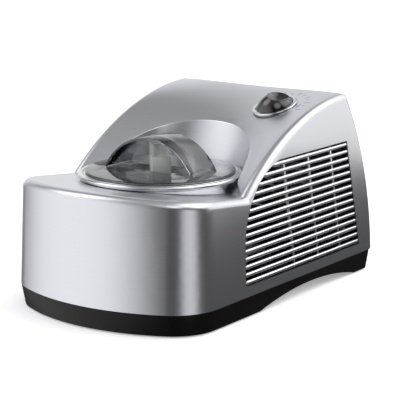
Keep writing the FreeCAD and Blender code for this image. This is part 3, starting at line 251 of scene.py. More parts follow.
# Black ABS with a spark-eroded satin grain: deep colour, broad soft highlights
SATIN_BLACK = Finish(
    "satin_black_abs", "black_plastic", "#060607", 0.36, ior=1.53, specular=0.2, patterns=(MOTTLE, GRAIN),
)
# Black ABS from a polished mould: mirror-like with faint flow unevenness
GLOSS_BLACK = Finish(
    "gloss_black_abs", "knob_black", "#08080A", 0.10, ior=1.53, coat=0.5,
    patterns=(Pattern((9, 9, 9), 2.0, gloss=0.05, relief_mm=0.01),),
)
# Black nitrile rubber: matt, slightly dusty
BLACK_RUBBER = Finish(
    "black_nitrile_rubber", "black_rubber", "#161616", 0.75, ior=1.52,
    patterns=(Pattern((2.5, 2.5, 2.5), 3.0, tint=0.25, gloss=0.15, relief_mm=0.06),),
)
# Bright silver lacquer on a turned ring: level turning lines and a crisp sheen
COLLAR_SILVER = Finish(
    "bright_silver_ring", "collar_plastic", "#CDCED1", 0.20, metallic=1.0,
    patterns=(MOTTLE, Pattern((90, 90, 0.8), 2.0, tint=0.05, gloss=0.08, relief_mm=0.008)),
)
# Clear styrene-acrylonitrile from a polished mould, with the faint haze of handling
CLEAR_PLASTIC = Finish(
    "clear_styrene", "clear_lid", "#A0A5A8", 0.04, ior=1.56, clear=1.0,
    patterns=(Pattern((25, 25, 25), 2.0, gloss=0.05), Pattern((6, 6, 6), 1.0, relief_mm=0.01)),
)
# The same plastic on the strap, finely frosted: it scatters light and shows a soft white sheen
FROSTED_PLASTIC = Finish(
    "frosted_styrene", "clear_lid", "#E4E6E6", 0.22, ior=1.56, clear=0.5,
    patterns=(MOTTLE, Pattern((1.2, 1.2, 1.2), 2.0, tint=0.03, gloss=0.08, relief_mm=0.01)),
)
# Milky acetal: pale, softly glowing where light enters, satin from its mould
PALE_ACETAL = Finish(
    "pale_acetal", "pale_plastic", "#DFE0DD", 0.34, ior=1.48, skin=0.15,
    patterns=(MOTTLE, Pattern((3, 3, 3), 2.0, tint=0.03, gloss=0.08, relief_mm=0.03)),
)
# Stainless steel spun on a lathe: level lines round the bowl
SPUN_STEEL = Finish(
    "spun_stainless_steel", "stainless", "#B9BABB", 0.26, metallic=1.0,
    patterns=(MOTTLE, Pattern((80, 80, 0.7), 3.0, tint=0.08, gloss=0.12, relief_mm=0.012)),
)
# Bright zinc on steel screws: bluish, with cloudy crystals
ZINC_STEEL = Finish(
    "bright_zinc_plate", "zinc_steel", "#A9ACB0", 0.30, metallic=1.0,
    patterns=(Pattern((1.5, 1.5, 1.5), 2.0, tint=0.15, gloss=0.15),),
)
# Rolled aluminium as it leaves the mill: fine lines along the roll
MILL_ALUMINIUM = Finish(
    "mill_aluminium", "aluminium", "#C4C6C8", 0.36, metallic=1.0,
    patterns=(Pattern((1.0, 30, 30), 2.0, tint=0.08, gloss=0.12, relief_mm=0.01),),
)
# Aluminium fins dipped in black epoxy: dull, with thin runs; the black is partly painted shade for the
# inside of the housing seen through the louvres
BLACK_FINS_AND_SHADE = Finish(
    "black_dipped_fins_and_shade", "aluminium", "#141516", 0.5, ior=1.55,
    patterns=(Pattern((20, 20, 6), 2.0, tint=0.2, gloss=0.15, relief_mm=0.02),),
)
# Drawn copper tube: warm, dulled in patches by handling
COPPER_TUBE = Finish(
    "drawn_copper", "copper", "#C07A55", 0.30, metallic=1.0,
    patterns=(Pattern((12, 12, 12), 3.0, tint=0.25, gloss=0.2),),
)
# Sintered bronze: porous, with a speckle of oil
SINTERED_BRONZE = Finish(
    "sintered_bronze", "bearing_bronze", "#8F7343", 0.45, metallic=1.0,
    patterns=(Pattern((0.8, 0.8, 0.8), 2.0, tint=0.3, gloss=0.2, relief_mm=0.03),),
)
# Baked black enamel on steel: glossy with orange peel
BLACK_ENAMEL = Finish(
    "baked_black_enamel", "black_enamel", "#131416", 0.28, ior=1.52, coat=0.3,
    patterns=(MOTTLE, Pattern((2.2, 2.2, 2.2), 1.0, gloss=0.05, relief_mm=0.03)),
)
# Polyurethane foamed in place: creamy, matt, full of small cells
CREAM_FOAM = Finish(
    "polyurethane_foam", "foam", "#D9CFAF", 0.85, ior=1.4,
    patterns=(Pattern((2.0, 2.0, 2.0), 3.0, tint=0.2, gloss=0.1, relief_mm=0.4),),
)
# Pad-printed inks on the hood
GREY_INK = Finish(
    "grey_print_ink", "black_plastic", "#6A6C74", 0.5, patterns=(Pattern((0.8, 0.8, 0.8), 1.0, tint=0.1),),
)
BLUE_INK = Finish(
    "blue_print_ink", "", "#5F78B4", 0.5, patterns=(Pattern((0.8, 0.8, 0.8), 1.0, tint=0.1),),
)
# Matt painted floor
FLOOR_PAINT = Finish(
    "matt_white_floor", "", "#F4F4F4", 0.9, patterns=(Pattern((400, 400, 400), 1.0, tint=0.01),),
)


# Mesh helpers
MERGE = 0.001 * MM
FLAT = math.radians(0.2)
# Upward share of a normal, above which a face counts as level and below which it counts as upright
LEVEL = 0.99
UPRIGHT = 0.1


def copy_of(node: str, join_flat: bool = True) -> Shape:
    """A merged copy of a CAD node's mesh.

    Args:
        node: the node's name.
        join_flat: whether flat neighbours become one face.

    Returns:
        The copy.
    """
    shape = bmesh.new()
    shape.from_mesh(frame["nodes"][node].data)
    bmesh.ops.remove_doubles(shape, verts=shape.verts, dist=MERGE)
    if join_flat:
        bmesh.ops.dissolve_limit(shape, angle_limit=FLAT, verts=shape.verts, edges=shape.edges)
    return shape


def round_edges(shape: Shape, width_mm: float, over_deg: float = 35.0, segments: int = 3) -> None:
    """Round the edges of a shape that turn by more than an angle.

    Args:
        shape: the shape, which is changed.
        width_mm: width of the rounding.
        over_deg: the angle.
        segments: faces across the rounding.
    """
    limit = math.radians(over_deg)
    sharp = [edge for edge in shape.edges if edge.calc_face_angle(0.0) > limit]
    bmesh.ops.bevel(
        shape, geom=sharp, offset=width_mm * MM, offset_type="OFFSET", affect="EDGES", segments=segments,
        profile=0.5, material=-1, clamp_overlap=True,
    )


def loft(shape: Shape, places: Sequence[Matrix], segments: int) -> None:
    """Join circles of unit radius, each placed and scaled by its matrix, and close both ends.

    Args:
        shape: the shape that they are added to.
        places: the matrices, from end to end.
        segments: sides of the circles.
    """
    before: list[bmesh.types.BMEdge] = []
    for index, place in enumerate(places):
        closed = index in (0, len(places) - 1)
        ring = bmesh.ops.create_circle(
            shape, cap_ends=closed, segments=segments, radius=1.0, matrix=place
        )["verts"]
        edges = list({edge for vert in ring for edge in vert.link_edges})
        if before:
            bmesh.ops.bridge_loops(shape, edges=before + edges)
        before = edges


def spun(profile_mm: Sequence[tuple[float, float]], centre: Vector, steps: int) -> Shape:
    """Turn a closed outline about an upright axis.

    Args:
        profile_mm: radius and height of each corner.
        centre: a point on the axis.
        steps: faces round the axis.

    Returns:
        The turned shape.
    """
    shape = bmesh.new()
    corners = [shape.verts.new((centre.x + r * MM, centre.y, z * MM)) for r, z in profile_mm]
    edges = [shape.edges.new(pair) for pair in zip(corners, corners[1:] + corners[:1])]
    bmesh.ops.spin(
        shape, geom=corners + edges, cent=centre, axis=Axis.Z.value, angle=math.tau, steps=steps,
        use_merge=True,
    )
    bmesh.ops.remove_doubles(shape, verts=shape.verts, dist=MERGE)
    bmesh.ops.recalc_face_normals(shape, faces=shape.faces)
    return shape


def add_piece(
    shape: Shape,
    name: str,
    body: str,
    finish: Finish,
    stands_for: Sequence[str] = (),
    smooth_deg: float = 34.0,
    lining: Optional[Finish] = None,
) -> Piece:
    """Make a shape a piece of the object.

    Args:
        shape: its mesh, which is used up.
        name: its name.
        body: the CAD body that it rides on.
        finish: its finish.
        stands_for: CAD nodes that it replaces.
        smooth_deg: edges that turn by more than this stay sharp.
        lining: the finish of its faces with material number one.

    Returns:
        The piece.
    """
    mesh = bpy.data.meshes.new(name)
    shape.to_mesh(mesh)
    shape.free()
    for layer in ("custom_normal", "sharp_face", "sharp_edge"):
        if layer in mesh.attributes:
            mesh.attributes.remove(mesh.attributes[layer])
    mesh.materials.clear()
    mesh.materials.append(finish.material())
    if lining:
        mesh.materials.append(lining.material())
    mesh.shade_smooth()
    mesh.set_sharp_from_angle(angle=math.radians(smooth_deg))
    piece = bpy.data.objects.new(name, mesh)
    bpy.context.scene.collection.objects.link(piece)
    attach(piece, body)
    if stands_for:
        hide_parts(*stands_for)
    LOG.info("%s rides on %s: %d faces", name, body, len(mesh.polygons))
    return piece


def dress(nodes: Iterable[str], finish: Finish) -> None:
    """Give CAD nodes a finish.

    Args:
        nodes: their names.
        finish: the finish.
    """
    for name in nodes:
        mesh = frame["nodes"][name].data
        mesh.materials.clear()
        mesh.materials.append(finish.material())
        LOG.info("%s keeps its CAD mesh in %s", name, finish.name)


# The object
@dataclass
class Shell:
    """The silver housing, its rear vent panel and the marks printed on the hood.

    Attributes:
        smooth_deg: edges of the housing that turn by more than this stay sharp.
        through_mm: a little more than the wall; past it, an inner face looks into the open.
        panel_round_mm: broken edges of the rear panel.
        blade_mm: how far the blades behind the rear slots reach inwards and upwards.
        drop_mm: how far above the knob's foot the marks are dropped onto the hood from.
        scale_radius_mm: the scale's distance from the knob's axis.
        scale_from_deg: first mark, turning from the machine's right towards its rear.
        scale_to_deg: last mark.
        marks: number of marks.
        mark_mm: length, width and height of a mark.
        long_mark: length of every other mark as a multiple of that.
        mark_shift_mm: how far a mark of plain length is moved outwards, and a long one by its multiple.
        mark_sides: sides of a mark's outline.
        crescent_deg: where the blue crescent is.
        crescent_mm: its distance from the axis, half length and width.
        crescent_steps: rings in each half of it.
        crescent_sides: sides of a ring.
        crescent_tip: thickness of its tips as a share of its width.
    """

    smooth_deg: float = 28.0
    through_mm: float = 3.5
    panel_round_mm: float = 0.5
    blade_mm: tuple[float, float] = (7.0, 6.5)
    drop_mm: float = 100.0
    scale_radius_mm: float = 38.0
    scale_from_deg: float = -15.0
    scale_to_deg: float = 105.0
    marks: int = 9
    mark_mm: tuple[float, float, float] = (6.0, 1.1, 0.12)
    long_mark: float = 1.5
    mark_shift_mm: float = 2.0
    mark_sides: int = 16
    crescent_deg: float = 0.0
    crescent_mm: tuple[float, float, float] = (34.0, 6.0, 2.0)
    crescent_steps: int = 6
    crescent_sides: int = 8
    crescent_tip: float = 0.15

    def build(self) -> None:
        """Make and dress the pieces."""
        housing = copy_of("housing", False)
        surface = BVHTree.FromBMesh(housing)
        for face in housing.faces:
            behind = face.calc_center_median() - face.normal * self.through_mm * MM
            face.material_index = int(surface.ray_cast(behind, -face.normal)[0] is None)
        add_piece(housing, "housing_skin", "cabinet", BRUSHED_SILVER, ["housing"], self.smooth_deg, BARE_ABS)
        panel = copy_of("rear_vent_panel")
        self.add_blades(panel)
        round_edges(panel, self.panel_round_mm)
        add_piece(panel, "rear_vent_louvres", "cabinet", BRUSHED_SILVER, ["rear_vent_panel"])
        self.print_marks(surface)

    def add_blades(self, panel: Shape) -> None:
        """Raise a sloping blade behind each slot of the rear panel, so that no level view leads in.

        Args:
            panel: the panel, which is changed.
        """
        panel.normal_update()
        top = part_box("rear_vent_panel")[1].z - self.panel_round_mm * MM
        sills = [face for face in panel.faces if face.normal.z > LEVEL and face.verts[0].co.z < top]
        grown = bmesh.ops.extrude_face_region(panel, geom=sills)["geom"]
        back, up = self.blade_mm
        moved = [item for item in grown if isinstance(item, bmesh.types.BMVert)]
        bmesh.ops.translate(panel, vec=(0, -back * MM, up * MM), verts=moved)

    def seat(self, surface: BVHTree, knob: Vector, turn_deg: float, out_mm: float) -> Matrix:
        """A place on the hood, with X away from the knob and Z off the surface.

        Args:
            surface: the housing.
            knob: the knob's foot.
            turn_deg: direction from the knob.
            out_mm: distance from the knob.

        Returns:
            The place.
        """
        turn = math.radians(turn_deg)
        away = Vector((math.cos(turn), math.sin(turn), 0))
        above = knob + away * out_mm * MM + Axis.Z.value * self.drop_mm * MM
        point, normal, _, _ = surface.ray_cast(above, -Axis.Z.value)
        across = normal.cross(away).normalized()
        columns = Matrix((across.cross(normal), across, normal)).transposed()
        return Matrix.Translation(point) @ columns.to_4x4()

    def print_marks(self, surface: BVHTree) -> None:
        """Print the knob's scale and its crescent on the hood.

        Args:
            surface: the housing.
        """
        knob = Vector(next(joint for joint in frame["joints"] if joint["name"] == "knob_turn")["pos_m"])
        step = (self.scale_to_deg - self.scale_from_deg) / (self.marks - 1)
        length, width, height = (size * MM / 2 for size in self.mark_mm)
        scale = bmesh.new()
        for index in range(self.marks):
            longer = 1.0 if index % 2 else self.long_mark
            turn = self.scale_from_deg + step * index
            place = self.seat(surface, knob, turn, self.scale_radius_mm + self.mark_shift_mm * longer)
            size = Matrix.Diagonal((length * longer, width, height, 1))
            ends = [place @ size @ Matrix.Translation((0, 0, lift)) for lift in (-1, 1)]
            loft(scale, ends, self.mark_sides)
        bmesh.ops.recalc_face_normals(scale, faces=scale.faces)
        add_piece(scale, "hood_scale", "cabinet", GREY_INK)
        out, half, thick = self.crescent_mm
        crescent = bmesh.new()
        upright = Matrix.Rotation(math.pi / 2, 4, "X")
        rings = []
        for index in range(-self.crescent_steps, self.crescent_steps + 1):
            share = index / self.crescent_steps
            turn = self.crescent_deg + math.degrees(share * half / out)
            slim = max(math.sqrt(1 - share**2), self.crescent_tip) * thick / 2 * MM
            place = self.seat(surface, knob, turn, out)
            rings.append(place @ upright @ Matrix.Diagonal((slim, height, 1, 1)))
        loft(crescent, rings, self.crescent_sides)
        bmesh.ops.recalc_face_normals(crescent, faces=crescent.faces)
        add_piece(crescent, "hood_crescent", "cabinet", BLUE_INK)


@dataclass
class Grille:
    """A louvred panel in a side wall: rounded slats on leaning ribs in a recessed border.

    Attributes:
        side: the wall that it sits in.
        wall_mm: thickness of the wall.
        slats: number of slats.
        slat_mm: height and depth of a slat.
        proud_mm: crest of a slat above the wall.
        nose_mm: gap between a slat's rounded ends and the window's edge.
        nose: a rounded end, as distances along the slat in millimetres and shares of its full size.
        slat_sides: sides of a slat's outline.
        curve_mm: radius of the window's front end.
        curve_fall: height of that curve as a share of its radius.
        curve_steps: straight runs along that curve in the border.
        slant_mm: how far the window's rear end leans in.
        rib_shares: ribs along the foot, as shares of the length.
        rib_shift_mm: ribs moved towards the rear at their feet.
        rib_lean: backward lean of the ribs.
        rib_mm: width and depth of a rib.
        border_mm: width of the border.
    """

    side: Side
    wall_mm: float = 3.0
    slats: int = 15
    slat_mm: tuple[float, float] = (5.0, 4.2)
    proud_mm: float = 0.5
    nose_mm: float = 1.0
    nose: tuple[tuple[float, float], ...] = ((0.0, 0.3), (0.5, 0.66), (1.2, 0.86), (2.4, 1.0))
    slat_sides: int = 16
    curve_mm: float = 94.0
    curve_fall: float = 0.98
    curve_steps: int = 10
    slant_mm: float = 28.0
    rib_shares: tuple[float, ...] = (0.36, 0.57, 0.77)
    rib_shift_mm: float = 12.0
    rib_lean: float = 0.16
    rib_mm: tuple[float, float] = (3.0, 2.0)
    border_mm: float = 3.5

    def __post_init__(self) -> None:
        """Read the right-hand window's place from the frame; the left one is its mirror image."""
        low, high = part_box("side_grille_right")
        self.rise = (high.z - low.z) / MM
        self.front, self.rear = low.y / MM, high.y / MM
        lean = math.atan2(high.x - low.x - self.wall_mm * MM, high.z - low.z)
        up = Vector((-math.sin(lean), 0, math.cos(lean)))
        axes = Matrix((Axis.Y.value, up, Axis.Y.value.cross(up))).transposed().to_4x4()
        self.plane = Matrix.Translation((high.x, 0, low.z)) @ axes @ Matrix.Scale(MM, 4)

    def front_at(self, up: float) -> float:
        """The window's front end at a height above its foot."""
        rise = max(0.0, up - (self.rise - self.curve_mm * self.curve_fall))
        return self.front + self.curve_mm - math.sqrt(self.curve_mm**2 - min(rise, self.curve_mm) ** 2)

    def rear_at(self, up: float) -> float:
        """The window's rear end at a height above its foot."""
        return self.rear - self.slant_mm * up / self.rise

    def build(self) -> None:
        """Make the panel and set it in its wall."""
        shape = bmesh.new()
        pitch = self.rise / self.slats
        for index in range(self.slats):
            self.add_slat(shape, pitch * (index + 0.5))
        for share in self.rib_shares:
            self.add_rib(shape, share)
        self.add_border(shape)
        bmesh.ops.transform(shape, matrix=self.plane, verts=shape.verts)
        bmesh.ops.scale(shape, vec=(self.side.value, 1, 1), verts=shape.verts)
        bmesh.ops.recalc_face_normals(shape, faces=shape.faces)
        name = self.side.name.lower()
        # The louvres' silver is painted lighter than the housing's: a painted highlight on the slats.
        add_piece(shape, f"louvres_{name}", "cabinet", SATIN_SILVER_PAINTED_LIGHTER, [f"side_grille_{name}"])

    def add_slat(self, shape: Shape, up: float) -> None:
        """Add a slat with rounded ends at a height above the window's foot."""
        tall, deep = (size / 2 for size in self.slat_mm)
        start = self.front_at(up) + self.nose_mm
        end = self.rear_at(up) - self.nose_mm
        stations = [(start + along, size) for along, size in self.nose]
        stations += [(end - along, size) for along, size in reversed(self.nose)]
        quarter = Matrix.Rotation(math.pi / 2, 4, "Y")
        rings = []
        for along, size in stations:
            place = Matrix.Translation((along, up, self.proud_mm - deep))
            rings.append(place @ quarter @ Matrix.Diagonal((deep * size, tall * size, 1, 1)))
        loft(shape, rings, self.slat_sides)

    def add_rib(self, shape: Shape, share: float) -> None:
        """Add a leaning rib behind the slats, its foot at a share of the window's length."""
        wide, deep = self.rib_mm
        foot = self.front + (self.rear - self.front) * share + self.rib_shift_mm + wide / 2
        lean = Matrix.Identity(4)
        lean[0][1] = -self.rib_lean
        size = Matrix.Diagonal((wide, self.rise - self.border_mm, deep, 1))
        middle = Matrix.Translation((0, self.rise / 2, -self.wall_mm + deep / 2))
        place = Matrix.Translation((foot, 0, 0)) @ lean @ middle
        bmesh.ops.create_cube(shape, size=1.0, matrix=place @ size)

    def add_border(self, shape: Shape) -> None:
        """Add the recessed strip round the window."""
        curve_low = self.rise - self.curve_mm * self.curve_fall
        step = (self.rise - curve_low) / self.curve_steps
        arc = [curve_low + step * index for index in range(self.curve_steps + 1)]
        outline = [(self.front, 0.0), (self.rear, 0.0), (self.rear_at(self.rise), self.rise)]
        outline += [(self.front_at(up), up) for up in reversed(arc)]
        face = shape.faces.new([shape.verts.new((u, v, -self.wall_mm)) for u, v in outline])
        ring = bmesh.ops.inset_region(
            shape, faces=[face], thickness=self.border_mm, use_even_offset=True
        )["faces"]
        bmesh.ops.delete(shape, geom=[face], context="FACES_ONLY")
        raised = bmesh.ops.extrude_face_region(shape, geom=ring)["geom"]
        lifted = [item for item in raised if isinstance(item, bmesh.types.BMVert)]
        bmesh.ops.translate(shape, vec=(0, 0, self.rib_mm[1]), verts=lifted)


@dataclass
class Base:
    """The black base with its feet and the gland in the rear wall.

    Attributes:
        edge_mm: rounded edges of the base.
        gland_edge_mm: rounded edges of the gland.
        foot_edge_mm: rounded edges of the feet.
    """

    edge_mm: float = 0.8
    gland_edge_mm: float = 0.4
    foot_edge_mm: float = 0.4

    def build(self) -> None:
        """Make and dress the pieces."""
        for node, width, finish in (
            ("base_tray", self.edge_mm, SATIN_BLACK),
            ("cord_gland", self.gland_edge_mm, SATIN_BLACK),
            ("rubber_feet", self.foot_edge_mm, BLACK_RUBBER),
        ):
            shape = copy_of(node)
            round_edges(shape, width)
            add_piece(shape, node + "_moulding", "cabinet", finish, [node])


@dataclass
class Freezer:
    """The collar, the lift-out bowl, its well and the paddle.

    Attributes:
        collar_steps: faces round the collar.
        collar_bore_mm: radius of the hole in the collar's top.
        collar_neck_mm: outer radius of its upright part.
        collar_wall_mm: thickness of that part.
        collar_lip_mm: thickness of its top.
        collar_cone_mm: height of the cone from its upright part to its top.
        collar_edge_mm: height of its outer edge.
        collar_corner_mm: chamfer of that edge.
        groove_mm: inner and outer radius and depth of the groove in the collar's top.
        groove_slope_mm: slope of the groove's sides.
        collar_round_mm: rounded edges of the collar.
        sheet_round_mm: rounded edges of the bowl and the well.
        paddle_round_mm: rounded edges of the paddle.
        tower_mm: side of the paddle's tower, and height of the step in it above the bowl's rim.
        tower_turn_deg: the tower's turn against the blades.
        tower_panel_mm: edge and depth of the panels in the tower's upper part.
    """

    collar_steps: int = 160
    collar_bore_mm: float = 84.0
    collar_neck_mm: float = 90.4
    collar_wall_mm: float = 3.0
    collar_lip_mm: float = 4.0
    collar_cone_mm: float = 22.0
    collar_edge_mm: float = 5.6
    collar_corner_mm: float = 1.6
    groove_mm: tuple[float, float, float] = (90.2, 92.0, 1.1)
    groove_slope_mm: float = 0.4
    collar_round_mm: float = 0.8
    sheet_round_mm: float = 0.35
    paddle_round_mm: float = 0.7
    tower_mm: tuple[float, float] = (23.0, 22.0)
    tower_turn_deg: float = 45.0
    tower_panel_mm: tuple[float, float] = (2.4, 5.0)

    def build(self) -> None:
        """Make and dress the pieces."""
        self.collar()
        for node, body in (("ice_cream_bowl", "bowl"), ("freezing_well", "cabinet")):
            shape = copy_of(node)
            round_edges(shape, self.sheet_round_mm, segments=2)
            add_piece(shape, node + "_sheet", body, SPUN_STEEL, [node])
        self.paddle()

    def collar(self) -> None:
        """Add the groove that the lid's edge sits over to the collar's ring."""
        low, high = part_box("bowl_collar")
        centre = Vector(((low.x + high.x) / 2, (low.y + high.y) / 2, 0))
        outside, top, foot = (high.x - centre.x) / MM, high.z / MM, low.z / MM
        inside, outer, deep = self.groove_mm
        slope, corner = self.groove_slope_mm, self.collar_corner_mm
        neck, sleeve = self.collar_neck_mm, self.collar_neck_mm - self.collar_wall_mm
        under, edge = top - self.collar_lip_mm, top - self.collar_edge_mm
        profile = [
            (neck, foot), (neck, top - self.collar_cone_mm),
            (outside - corner, edge), (outside, edge + corner),
            (outside, top - corner), (outside - corner, top),
            (outer, top), (outer - slope, top - deep), (inside + slope, top - deep), (inside, top),
            (self.collar_bore_mm, top), (self.collar_bore_mm, under), (sleeve, under), (sleeve, foot),
        ]
        shape = spun(profile, centre, self.collar_steps)
        round_edges(shape, self.collar_round_mm, 20.0)
        add_piece(shape, "bowl_collar_ring", "cabinet", COLLAR_SILVER, ["bowl_collar"], 40.0)

    def paddle(self) -> None:
        """Make the paddle's blades, with a turned tower in place of the CAD's above the bowl's rim."""
        shape = copy_of("mixing_paddle")
        low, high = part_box("mixing_paddle")
        middle = (low + high) / 2
        shoulder = Vector((middle.x, middle.y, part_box("ice_cream_bowl")[1].z))
        everything = shape.verts[:] + shape.edges[:] + shape.faces[:]
        cut = bmesh.ops.bisect_plane(
            shape, geom=everything, plane_co=shoulder, plane_no=Axis.Z.value, clear_outer=True,
        )["geom_cut"]
        rim = [item for item in cut if isinstance(item, bmesh.types.BMEdge)]
        bmesh.ops.contextual_create(shape, geom=rim)
        round_edges(shape, self.paddle_round_mm)
        step = self.tower_mm[1]
        rise = (high.z - shoulder.z) / MM
        self.add_tower_part(shape, shoulder, step, False)
        self.add_tower_part(shape, shoulder + Axis.Z.value * step * MM, rise - step, True)
        add_piece(shape, "paddle_moulding", "paddle", PALE_ACETAL, ["mixing_paddle"])

    def add_tower_part(self, shape: Shape, foot: Vector, tall_mm: float, panels: bool) -> None:
        """Add a part of the paddle's tower: an upright square block.

        Args:
            shape: the paddle, which is changed.
            foot: the middle of the block's foot.
            tall_mm: its height.
            panels: whether its sides have sunk panels.
        """
        side = self.tower_mm[0] * MM
        place = Matrix.Translation(foot + Axis.Z.value * tall_mm / 2 * MM)
        turn = Matrix.Rotation(math.radians(self.tower_turn_deg), 4, "Z")
        block = bmesh.new()
        size = Matrix.Diagonal((side, side, tall_mm * MM, 1))
        bmesh.ops.create_cube(block, size=1.0, matrix=place @ turn @ size)
        if panels:
            edge, deep = (size * MM for size in self.tower_panel_mm)
            block.normal_update()
            upright = [face for face in block.faces if abs(face.normal.z) < UPRIGHT]
            bmesh.ops.inset_individual(block, faces=upright, thickness=edge, depth=-deep)
        round_edges(block, self.paddle_round_mm)
        mesh = bpy.data.meshes.new("tower")
        block.to_mesh(mesh)
        block.free()
        shape.from_mesh(mesh)
        bpy.data.meshes.remove(mesh)


@dataclass
class Lid:
    """The clear lid with its arched strap.

    Attributes:
        round_mm: rounded edges.
        disc_mm: top of the disc above the lid's foot.
    """

    round_mm: float = 0.6
    disc_mm: float = 4.8

    def build(self) -> None:
        """Make the lid, with a frosted strap on a clear disc."""
        shape = copy_of("lid")
        round_edges(shape, self.round_mm)
        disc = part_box("lid")[0].z + self.disc_mm * MM
        for face in shape.faces:
            face.material_index = int(face.calc_center_median().z > disc)
        add_piece(shape, "lid_moulding", "lid", CLEAR_PLASTIC, ["lid"], lining=FROSTED_PLASTIC)


@dataclass
class Knob:
    """The domed knob on its seat.

    Attributes:
        edge_mm: rounded edges of the knob's finger recess.
        seat_edge_mm: rounded edges of the seat.
    """

    edge_mm: float = 0.9
    seat_edge_mm: float = 0.4

    def build(self) -> None:
        """Make and dress the pieces."""
        dome = copy_of("control_knob")
        round_edges(dome, self.edge_mm, 24.0)
        add_piece(dome, "knob_dome", "knob", GLOSS_BLACK, ["control_knob"], 40.0)
        seat = copy_of("knob_bezel")
        round_edges(seat, self.seat_edge_mm)
        add_piece(seat, "knob_seat", "cabinet", COLLAR_SILVER, ["knob_bezel"])


class Inside:
    """The pieces inside the housing, which keep their CAD meshes."""

    FINISHES = {
        BLACK_RUBBER: ("compressor_grommets", "well_gasket", "shaft_seal"),
        SATIN_BLACK: ("fan_shroud", "fan_blade", "timer_switch", "control_box", "terminal_block"),
        PALE_ACETAL: ("output_gear", "idler_gear", "motor_pinion", "gearbox_base", "gearbox_cover"),
        SPUN_STEEL: ("drive_shaft", "idler_pin", "knob_spindle"),
        ZINC_STEEL: ("foot_screws", "gearbox_screws", "switch_nut"),
        MILL_ALUMINIUM: ("evaporator_sleeve",),
        # The black of the condenser and its fan bracket is partly painted shade for the inside of the
        # housing.
        BLACK_FINS_AND_SHADE: ("condenser", "fan_bracket"),
        COPPER_TUBE: ("filter_drier", "suction_tube", "discharge_tube"),
        SINTERED_BRONZE: ("shaft_bush",),
        BLACK_ENAMEL: ("compressor", "drive_motor", "fan_motor"),
        CREAM_FOAM: ("insulation_jacket",),
    }

    def build(self) -> None:
        """Dress the pieces."""
        for finish, nodes in self.FINISHES.items():
            dress(nodes, finish)


# The studio
@dataclass(frozen=True)
class Glow:
    """A soft bright area of the room, far off.

    Attributes:
        azimuth_deg: its direction, turning from the machine's front towards its right.
        elevation_deg: its height above the horizon.
        inner_deg: half width of its full brightness.
        outer_deg: half width at which it has faded out.
        level: its brightness.
    """

    azimuth_deg: float
    elevation_deg: float
    inner_deg: float
    outer_deg: float
    level: float


@dataclass(frozen=True)
class Card:
    """A lit card beside the machine, turned to its middle.

    Attributes:
        place_mm: its centre.
        size_mm: width and height.
        watts: its power.
    """

    place_mm: tuple[float, float, float]
    size_mm: tuple[float, float]
    watts: float


def direction(azimuth_deg: float, elevation_deg: float) -> Vector:
    """The direction from the machine towards an azimuth and elevation."""
    turn, rise = math.radians(azimuth_deg), math.radians(elevation_deg)
    return Vector((math.sin(turn) * math.cos(rise), -math.cos(turn) * math.cos(rise), math.sin(rise)))


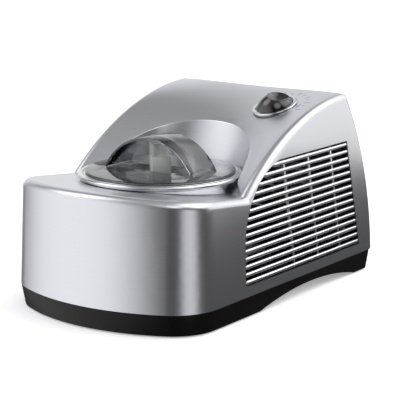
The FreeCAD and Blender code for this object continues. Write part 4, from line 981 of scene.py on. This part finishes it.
@dataclass
class Studio:
    """Floor, light and camera.

    Attributes:
        azimuth_deg: the camera's direction from the machine, from its front towards its right.
        elevation_deg: the camera's height above the horizon.
        distance_mm: its distance from the point that it aims at.
        aim_mm: that point.
        focal_mm: focal length on a sensor 36 mm wide.
        floor_m: radius of the floor.
        floor_glow: light that the floor gives off.
        dim: brightness of the room between its bright areas.
        glows: the bright areas: left front, right, right rear, ceiling, upper left, upper front, left rear
            and rear.
        side_card: the card that lights the upper part of the right wall.
    """

    azimuth_deg: float = 35.68
    elevation_deg: float = 12.29
    distance_mm: float = 1879.2
    aim_mm: tuple[float, float, float] = (8.6, 6.1, 109.8)
    focal_mm: float = 138.9
    floor_m: float = 14.0
    floor_glow: float = 0.38
    dim: float = 0.09
    glows: tuple[Glow, ...] = (
        Glow(-44.0, -5.0, 10.0, 66.0, 1.36),
        Glow(72.0, -8.0, 4.0, 25.0, 1.05),
        Glow(122.0, 50.0, 12.0, 38.0, 2.2),
        Glow(0.0, 90.0, 20.0, 60.0, 0.35),
        Glow(-62.0, 46.0, 8.0, 24.0, 2.1),
        Glow(40.0, 45.0, 8.0, 22.0, 1.8),
        Glow(-130.0, 14.0, 12.0, 36.0, 1.0),
        Glow(170.0, 35.0, 10.0, 32.0, 1.2),
    )
    side_card: Card = Card((415.0, 455.0, 235.0), (700.0, 300.0), 0.8)

    def build(self) -> None:
        """Make the floor, the lights and the camera."""
        self.floor()
        self.room()
        self.light(self.side_card)
        self.camera()

    def floor(self) -> None:
        """Lay the floor, which isn't mirrored in the machine's lacquer."""
        shape = bmesh.new()
        bmesh.ops.create_circle(shape, cap_ends=True, segments=96, radius=self.floor_m)
        mesh = bpy.data.meshes.new("floor")
        shape.to_mesh(mesh)
        shape.free()
        paint = FLOOR_PAINT.material()
        shader = paint.node_tree.nodes["Principled BSDF"]
        shader.inputs["Emission Color"].default_value = linear(FLOOR_PAINT.colour)
        shader.inputs["Emission Strength"].default_value = self.floor_glow
        mesh.materials.append(paint)
        floor = bpy.data.objects.new("floor", mesh)
        floor.visible_glossy = False
        bpy.context.scene.collection.objects.link(floor)

    def room(self) -> None:
        """Light the room: dim, with soft bright areas."""
        world = bpy.data.worlds.new("room")
        world.use_nodes = True
        tree = world.node_tree
        view = add_node(tree, "ShaderNodeTexCoord").outputs["Generated"]
        total: Value = self.dim
        for glow in self.glows:
            towards = direction(glow.azimuth_deg, glow.elevation_deg)
            facing = add_node(
                tree, "ShaderNodeVectorMath", {0: view, 1: towards}, operation="DOT_PRODUCT"
            ).outputs["Value"]
            edges = {
                "Value": facing,
                "From Min": math.cos(math.radians(glow.outer_deg)),
                "From Max": math.cos(math.radians(glow.inner_deg)),
            }
            share = add_node(tree, "ShaderNodeMapRange", edges, interpolation_type="SMOOTHSTEP").outputs[0]
            total = add_node(
                tree, "ShaderNodeMath", {0: share, 1: glow.level, 2: total}, operation="MULTIPLY_ADD"
            ).outputs[0]
        background = tree.nodes["Background"]
        background.inputs["Color"].default_value = linear("#FDFDFF")
        tree.links.new(total, background.inputs["Strength"])
        bpy.context.scene.world = world
        bpy.context.scene.view_settings.view_transform = "Standard"

    def light(self, card: Card) -> None:
        """Set up a card.

        Args:
            card: its place, size and power.
        """
        lamp = bpy.data.lights.new("side_card", "AREA")
        lamp.shape = "RECTANGLE"
        lamp.size, lamp.size_y = (size * MM for size in card.size_mm)
        lamp.energy = card.watts
        holder = bpy.data.objects.new("side_card", lamp)
        place, aim = Vector(card.place_mm), Vector(self.aim_mm)
        holder.location = place * MM
        level = Vector((place.x - aim.x, place.y - aim.y, 0))
        holder.rotation_euler = level.to_track_quat("Z", "Y").to_euler()
        holder.visible_camera = False
        bpy.context.scene.collection.objects.link(holder)

    def camera(self) -> None:
        """Set the camera at the photograph's viewing angle."""
        lens = bpy.data.cameras.new("camera")
        lens.lens = self.focal_mm
        lens.sensor_width = 36.0
        holder = bpy.data.objects.new("camera", lens)
        towards = direction(self.azimuth_deg, self.elevation_deg)
        holder.location = (Vector(self.aim_mm) + towards * self.distance_mm) * MM
        holder.rotation_euler = towards.to_track_quat("Z", "Y").to_euler()
        bpy.context.scene.collection.objects.link(holder)
        bpy.context.scene.camera = holder


def main() -> None:
    """Build every part of the scene in order."""
    logging.basicConfig(level=logging.INFO, format="%(name)s: %(message)s")
    for part in (
        Shell(), Grille(Side.RIGHT), Grille(Side.LEFT), Base(), Freezer(), Lid(), Knob(), Inside(), Studio(),
    ):
        part.build()


if __name__ == "__main__":
    main()
